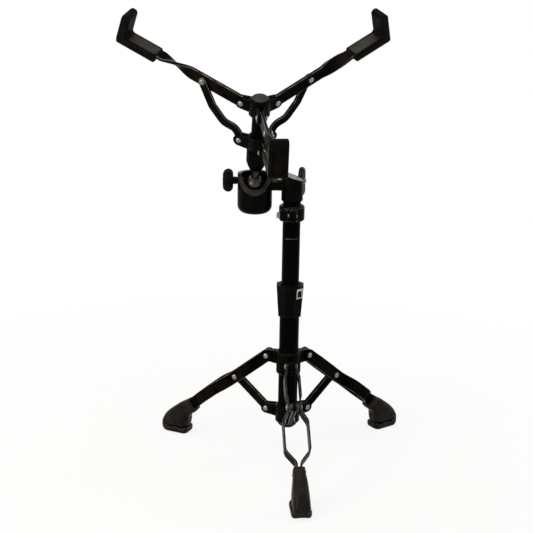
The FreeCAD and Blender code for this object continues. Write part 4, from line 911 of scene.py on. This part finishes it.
BALL_RADIUS = 0.013
BALL_STEPS = 24
BALL_EDGE = 0.0004
STEM_RADIUS = 0.0055
STEM_LENGTH = 0.072
basket_up = axle("basket_turn")
basket_out = axle("arm_swing_front").cross(basket_up)
basket_place = set_up(pivot("ball_lean"), basket_out, basket_up.cross(basket_out))
ball_outline = [(0, -BALL_RADIUS)]
neck_turn = math.asin(STEM_RADIUS / BALL_RADIUS)
for step in range(1, BALL_STEPS + 1):
    turn = math.pi - (math.pi - neck_turn) * step / BALL_STEPS
    ball_outline.append((BALL_RADIUS * math.sin(turn), BALL_RADIUS * math.cos(turn)))
ball_outline += [(STEM_RADIUS, STEM_LENGTH), (0, STEM_LENGTH)]
fasten("basket_ball_steel", eased(turned(ball_outline), BALL_EDGE, basket_place, SHARP_ONLY),
       [bare_steel], "bare_steel", "ball", "basket_ball")

# Basket column, cap and nut: a steel column on the ball's stem carries the
# basket's hub, a plastic cap closes its end, and a fluted nut below the slider
# closes the basket.
COLUMN_FOOT = 0.028
COLUMN_TOP = 0.1435
COLUMN_RADIUS = 0.0095
COLUMN_BORE = 0.0056
COLUMN_EDGE = 0.0004
column = turned(tube_outline(COLUMN_BORE, COLUMN_RADIUS, COLUMN_FOOT, COLUMN_TOP))
fasten("basket_column_steel", eased(column, COLUMN_EDGE, basket_place), [tube_enamel],
       "black_tube", "column", "basket_column")
CAP_RINGS = ((0, 0.0), (0.011, 0.0), (0.011, 0.0008), (0.0095, 0.0018), (0, 0.002))
CAP_EDGE = 0.0005
cap_plastic = coat("cap_plastic", ((0.005, 0.005, 0.0025), (0.020, 0.018, 0.009)),
                   (0.36, 0.52), (1400, 0.10, 0.0003), specular=0.15)
cap = turned([(radius, COLUMN_TOP + height) for radius, height in CAP_RINGS])
fasten("hub_cap_moulding", eased(cap, CAP_EDGE, basket_place), [cap_plastic],
       "black_plastic", "column", "hub_cap")
NUT_TOP = 0.05985
NUT_FOOT = 0.03185
NUT_RADIUS = 0.0142
NUT_BORE = COLUMN_RADIUS + 0.0001
NUT_SIDES = 192
NUT_FLUTES = 16
NUT_FLUTE_DEPTH = 0.05
nut_outline = [
    (NUT_BORE, NUT_FOOT), (0.0108, NUT_FOOT), (0.0115, NUT_FOOT + 0.0008),
    (0.0136, NUT_FOOT + 0.0078), (NUT_RADIUS, NUT_FOOT + 0.0095), (NUT_RADIUS, NUT_TOP - 0.0012),
    (0.0132, NUT_TOP), (NUT_BORE, NUT_TOP)]
nut_gloss = coat("nut_gloss", ((0.0008, 0.0008, 0.0007), (0.0024, 0.0022, 0.0018)),
                 (0.14, 0.24), (900, 0.04, 0.0002), specular=0.015)
nut = turned(nut_outline, NUT_SIDES, NUT_FLUTES, NUT_FLUTE_DEPTH)
fasten("adjusting_nut_fluted", eased(nut, FINE_EDGE, basket_place, SHARP_ONLY),
       [nut_gloss], "black_plastic", "adjusting_nut", "adjusting_nut")

# Arms: flat steel bars on edge in the hub's clevises, twisted a quarter turn to
# lie flat in their grips. Gloss black enamel.
ARM_WIDTH = 0.0184
ARM_THICKNESS = 0.0045
ARM_EDGE = 0.0009
ARM_EDGE_STRIP = 0.0008
ARM_STEP = 0.0015
ARM_LENGTH = 0.186
TWIST_START = 0.080
TWIST_END = 0.124
QUARTER = -math.pi / 2
arm_places = {}
for side in SIDES:
    start = pivot(f"arm_swing_{side}")
    arm_places[side] = set_up(start, pivot(f"basket_strut_turn_{side}") - start,
                              -axle(f"arm_swing_{side}"))
    arm_line = path([(0, 0), (TWIST_START, 0), (TWIST_END, 0), (ARM_LENGTH, 0)],
                    [0.0, 0.0, QUARTER, QUARTER])
    arm_bar = bar_along(arm_line, ARM_WIDTH, ARM_THICKNESS, ARM_EDGE, 0.0, ARM_STEP)
    eye = disc(ARM_WIDTH / 2, ARM_THICKNESS / 2, ARM_EDGE)
    fasten_bar(f"arm_{side}_bar", joined(arm_bar, eye), ARM_EDGE_STRIP, arm_places[side],
               f"arm_{side}", f"arm_{side}")

# Basket struts: flat bars bent in their own plane in a slack S, from the
# slider's clevises up to the rivets in the arms, on one side of each arm.
BASKET_STRUT_WIDTH = 0.012
BASKET_STRUT_THICKNESS = 0.004
BASKET_STRUT_EDGE_STRIP = 0.0007
BASKET_STRUT_BEND = 0.016
BASKET_STRUT_SIDE = 0.0045
STRUT_BENDS = ((0.155, 0.06), (0.33, -0.075), (0.62, -0.09))
SLIDER_PIVOT_RADIUS = 0.0246
SLIDER_PIVOT_HEIGHT = 0.0721
for side in SIDES:
    across = -axle(f"arm_swing_{side}")
    out = across.cross(basket_up)
    low = pivot("ball_lean") + basket_up * SLIDER_PIVOT_HEIGHT + out * SLIDER_PIVOT_RADIUS
    high = pivot(f"basket_strut_turn_{side}")
    span = (high - low).length
    strut_place = set_up(low + across * BASKET_STRUT_SIDE, high - low, across)
    bends = [(along * span, aside * span) for along, aside in STRUT_BENDS]
    strut_bar = bar_along(path([(0, 0), *bends, (span, 0)]), BASKET_STRUT_THICKNESS,
                          BASKET_STRUT_WIDTH, STRUT_EDGE, BASKET_STRUT_BEND, BAR_STEP)
    strut_bar.transform(Matrix.Rotation(math.pi / 2, 4, "X"))
    eyes = [disc(BASKET_STRUT_WIDTH / 2, BASKET_STRUT_THICKNESS / 2, STRUT_EDGE, x)
            for x in (0.0, span)]
    fasten_bar(f"basket_strut_{side}_bar", joined(strut_bar, *eyes), BASKET_STRUT_EDGE_STRIP,
               strut_place, f"basket_strut_{side}", f"basket_strut_{side}")

# Basket rivets: the same domed rivets in the hub's clevises, through each arm
# and strut, and as headed pins in the slider's ears.
BASKET_HUB_GRIP = 0.0123
ARM_GRIP = 0.00885
ARM_RIVET_ASIDE = 0.002125
rivets("basket_hub_rivet_heads", [
    (pivot(f"arm_swing_{side}"), axle(f"arm_swing_{side}"), BASKET_HUB_GRIP) for side in SIDES],
    "column", "basket_hub_rivets")
for side in SIDES:
    across = axle(f"arm_swing_{side}")
    rivets(f"arm_rivet_{side}_head", [
        (pivot(f"basket_strut_turn_{side}") - across * ARM_RIVET_ASIDE, across, ARM_GRIP)],
        f"arm_{side}", f"arm_rivet_{side}")
fasten("slider_rivet_pins", cast("slider_rivets", 0), [satin_nickel], "satin_nickel",
       "slider", "slider_rivets")

# Grips: moulded rubber hooks pushed over the arms' flat ends. A thick base for
# the drum's hoop with a pad in a raised rim, and an upright with a bevelled
# top and a framed panel outside, all edges soft. The pad and the top of the deck's
# rim are painted in the paler rubber, painted light from above.
GRIP_START = 0.131
GRIP_REACH = 0.1922
GRIP_HALF_WIDTH = 0.0122
GRIP_FLOOR = -0.0088
GRIP_DECK = 0.0036
GRIP_TOP = 0.0392
GRIP_WALL = 0.0124
GRIP_EDGE = 0.0024
GRIP_EDGE_STEPS = 5
GRIP_ROUND = 0.0028
GRIP_HEEL_ROUND = 0.0036
GRIP_NOOK_ROUND = 0.0040
GRIP_OUTER_BEVEL = (0.0035, 0.0045)
GRIP_INNER_BEVEL = (0.0030, 0.0035)
RIM_BAND = 0.0022
RIM_RISE = 0.0008
RIM_EDGE = 0.0004
RIM_ROUND = 0.003
# Walls of the deck rim's top painted in the paler rubber: painted light from above.
RIM_HIGHLIT = (1, 2, 3)
DECK_RIM = (0.0215, 0.0098)
DECK_RIM_BACK = 0.0012
PANEL_RIM = (0.0190, 0.0098)
PANEL_HEIGHT = 0.0135
PAD_BACK = 0.0205
PAD_FRONT = 0.0180
PAD_SUNK = 0.001
PAD_RISE = 0.0002
PAD_HALF_WIDTH = 0.0082
ALL_OVER = 1.0
rubber = coat("rubber", ((0.0018, 0.0016, 0.0012), (0.0068, 0.0058, 0.0045)),
              (0.42, 0.62), (1100, 0.22, 0.0004), specular=0.02, patches=55)
grip_inside = GRIP_REACH - GRIP_WALL
grip_side = rounded([
    (GRIP_START, GRIP_FLOOR, GRIP_ROUND), (GRIP_REACH, GRIP_FLOOR, GRIP_HEEL_ROUND),
    (GRIP_REACH, GRIP_TOP - GRIP_OUTER_BEVEL[1], GRIP_ROUND),
    (GRIP_REACH - GRIP_OUTER_BEVEL[0], GRIP_TOP, GRIP_ROUND),
    (grip_inside + GRIP_INNER_BEVEL[0], GRIP_TOP, GRIP_ROUND),
    (grip_inside, GRIP_TOP - GRIP_INNER_BEVEL[1], GRIP_ROUND),
    (grip_inside, GRIP_DECK, GRIP_NOOK_ROUND), (GRIP_START, GRIP_DECK, GRIP_ROUND)])


def raised_rim(half_length, half_breadth, marked=()):
    """A low band around a rounded rectangle, standing on the plane at zero height."""
    outer = rounded([(x * half_length, y * half_breadth, RIM_ROUND)
                     for x, y in SQUARE])
    shell = bmesh.new()
    layers = [
        [shell.verts.new((*point, height)) for point in drawn_in(outer, depth)]
        for depth, height in (
            (0, -RIM_RISE), (0, RIM_RISE / 2), (RIM_EDGE, RIM_RISE),
            (RIM_BAND - RIM_EDGE, RIM_RISE), (RIM_BAND, RIM_RISE / 2), (RIM_BAND, -RIM_RISE))]
    walled(shell, layers + layers[:1], marked)
    return closed(shell, "rim")


pad_middle = (GRIP_START + GRIP_REACH - GRIP_WALL) / 2
pad_back, pad_front = pad_middle - PAD_BACK, pad_middle + PAD_FRONT
pad_side = rounded([
    (pad_back, GRIP_DECK - PAD_SUNK, PAD_RISE), (pad_front, GRIP_DECK - PAD_SUNK, PAD_RISE),
    (pad_front, GRIP_DECK + PAD_RISE, PAD_RISE), (pad_back, GRIP_DECK + PAD_RISE, PAD_RISE)])
for side in SIDES:
    hook = slab(grip_side, GRIP_HALF_WIDTH, GRIP_EDGE, GRIP_EDGE_STEPS)
    deck_rim = raised_rim(*DECK_RIM, RIM_HIGHLIT)
    deck_rim.transform(Matrix.Translation((pad_middle - DECK_RIM_BACK, 0, GRIP_DECK)))
    # The whole pad is marked for the paler rubber: painted light from above.
    pad = highlight_marked(slab(pad_side, PAD_HALF_WIDTH, PAD_RISE), ALL_OVER)
    panel_rim = raised_rim(*PANEL_RIM)
    panel_rim.transform(Matrix.Translation((GRIP_REACH, 0, PANEL_HEIGHT))
                        @ Matrix.Rotation(math.pi / 2, 4, "Y"))
    grip = joined(hook, deck_rim, pad, panel_rim)
    fasten(f"grip_{side}_hook", eased(grip, 0, arm_places[side]), [rubber, rubber_highlight],
           "black_rubber", f"arm_{side}", f"grip_{side}")

# Studio: a pale floor that keeps a faint shadow and runs out into plain white,
# white all round, and soft lamps.
FLOOR_HALF = 4
FLOOR_DROP = 0.0004
FLOOR_FADE = (0.3, 0.9)
FLOOR_WHITE = 0.86
ROOM_LIGHT = 0.4
floor_mesh = bpy.data.meshes.new("floor")
floor_mesh.from_pydata([(x * FLOOR_HALF, y * FLOOR_HALF, -FLOOR_DROP)
                        for x, y in SQUARE], [], [(0, 1, 2, 3)])
floor = bpy.data.objects.new("floor", floor_mesh)
bpy.context.scene.collection.objects.link(floor)


def seen_rays(tree):
    """One for the rays that show the background: to the camera, or off or through a surface."""
    ray = add(tree, "ShaderNodeLightPath")
    shown = ray["Is Camera Ray"]
    for other in ("Is Glossy Ray", "Is Transmission Ray"):
        shown = add(tree, "ShaderNodeMath", {0: shown, 1: ray[other]}, operation="MAXIMUM")["Value"]
    return shown


floor_paint = bpy.data.materials.new("floor_paint")
floor_paint.use_nodes = True
tree = floor_paint.node_tree
matt = tree.nodes["Principled BSDF"]
fill(tree, matt, {
    "Base Color": (0.9, 0.9, 0.9, 1), "Roughness": 0.9, "Specular IOR Level": 0.0})
white = add(tree, "ShaderNodeEmission")["Emission"]
spot = add(tree, "ShaderNodeTexCoord")["Object"]
reach = add(tree, "ShaderNodeVectorMath", {0: spot}, operation="LENGTH")["Value"]
fade = add(tree, "ShaderNodeMapRange", {
    "Value": reach, "From Min": FLOOR_FADE[0], "From Max": FLOOR_FADE[1],
    "To Min": FLOOR_WHITE})["Result"]
faint = add(tree, "ShaderNodeMath", {0: fade, 1: seen_rays(tree)}, operation="MULTIPLY")["Value"]
blend = add(tree, "ShaderNodeMixShader", {"Fac": faint, 1: matt.outputs["BSDF"], 2: white})
fill(tree, tree.nodes["Material Output"], {"Surface": blend["Shader"]})
floor_mesh.materials.append(floor_paint)

world = bpy.data.worlds.new("white_room")
bpy.context.scene.world = world
world.use_nodes = True
tree = world.node_tree
room = tree.nodes["Background"]
fill(tree, room, {"Color": (1.0, 0.98, 0.95, 1), "Strength": ROOM_LIGHT})
backdrop = add(tree, "ShaderNodeBackground", {"Color": (1, 1, 1, 1), "Strength": 1.0})
pick = add(tree, "ShaderNodeMixShader", {
    "Fac": seen_rays(tree), 1: room.outputs["Background"], 2: backdrop["Background"]})
fill(tree, tree.nodes["World Output"], {"Surface": pick["Shader"]})


def lamp(name, place, aim, size, watts, tint):
    """A square soft lamp in a place, turned to what it lights."""
    light = bpy.data.lights.new(name, "AREA")
    light.shape = "SQUARE"
    light.size = size
    light.energy = watts
    light.color = tint
    holder = bpy.data.objects.new(name, light)
    holder.location = place
    holder.rotation_euler = (Vector(aim) - Vector(place)).to_track_quat("-Z", "Y").to_euler()
    bpy.context.scene.collection.objects.link(holder)


lamp("overhead", (-0.1, -0.1, 1.9), (0, 0, 0.4), 0.9, 12, (1.0, 0.95, 0.88))
lamp("front_left", (-1.5, -1.1, 0.9), (0, 0, 0.3), 0.9, 22, (1.0, 0.93, 0.84))
lamp("right_edge", (1.4, 0.7, 0.9), (0, 0, 0.3), 0.6, 6, (1.0, 0.98, 0.92))

# Camera: in front of the stand, a little above the basket and looking down, as the
# photograph was taken.
CAMERA_FROM_TUBE = Vector((-0.0080, -1.63619, 0.78365))
CAMERA_YAW = math.radians(-0.93)
CAMERA_PITCH = math.radians(16.7)
CAMERA_ROLL = math.radians(0.92)
CAMERA_LENS = 80.19
CAMERA_SENSOR = 36
CAMERA_NEAR = 0.05
level = Vector((math.cos(CAMERA_YAW), -math.sin(CAMERA_YAW), 0))
ahead = Vector((math.sin(CAMERA_YAW) * math.cos(CAMERA_PITCH),
                math.cos(CAMERA_YAW) * math.cos(CAMERA_PITCH), -math.sin(CAMERA_PITCH)))
above = level.cross(ahead)
right = level * math.cos(CAMERA_ROLL) + above * math.sin(CAMERA_ROLL)
upward = above * math.cos(CAMERA_ROLL) - level * math.sin(CAMERA_ROLL)
lens = bpy.data.cameras.new("camera")
lens.lens = CAMERA_LENS
lens.sensor_width = CAMERA_SENSOR
lens.clip_start = CAMERA_NEAR
camera = bpy.data.objects.new("camera", lens)
camera.matrix_world = (Matrix.Translation(TUBE_AXIS.translation + CAMERA_FROM_TUBE)
                       @ Matrix((right, upward, -ahead)).transposed().to_4x4())
bpy.context.scene.collection.objects.link(camera)
bpy.context.scene.camera = camera
bpy.context.scene.view_settings.view_transform = "Standard"
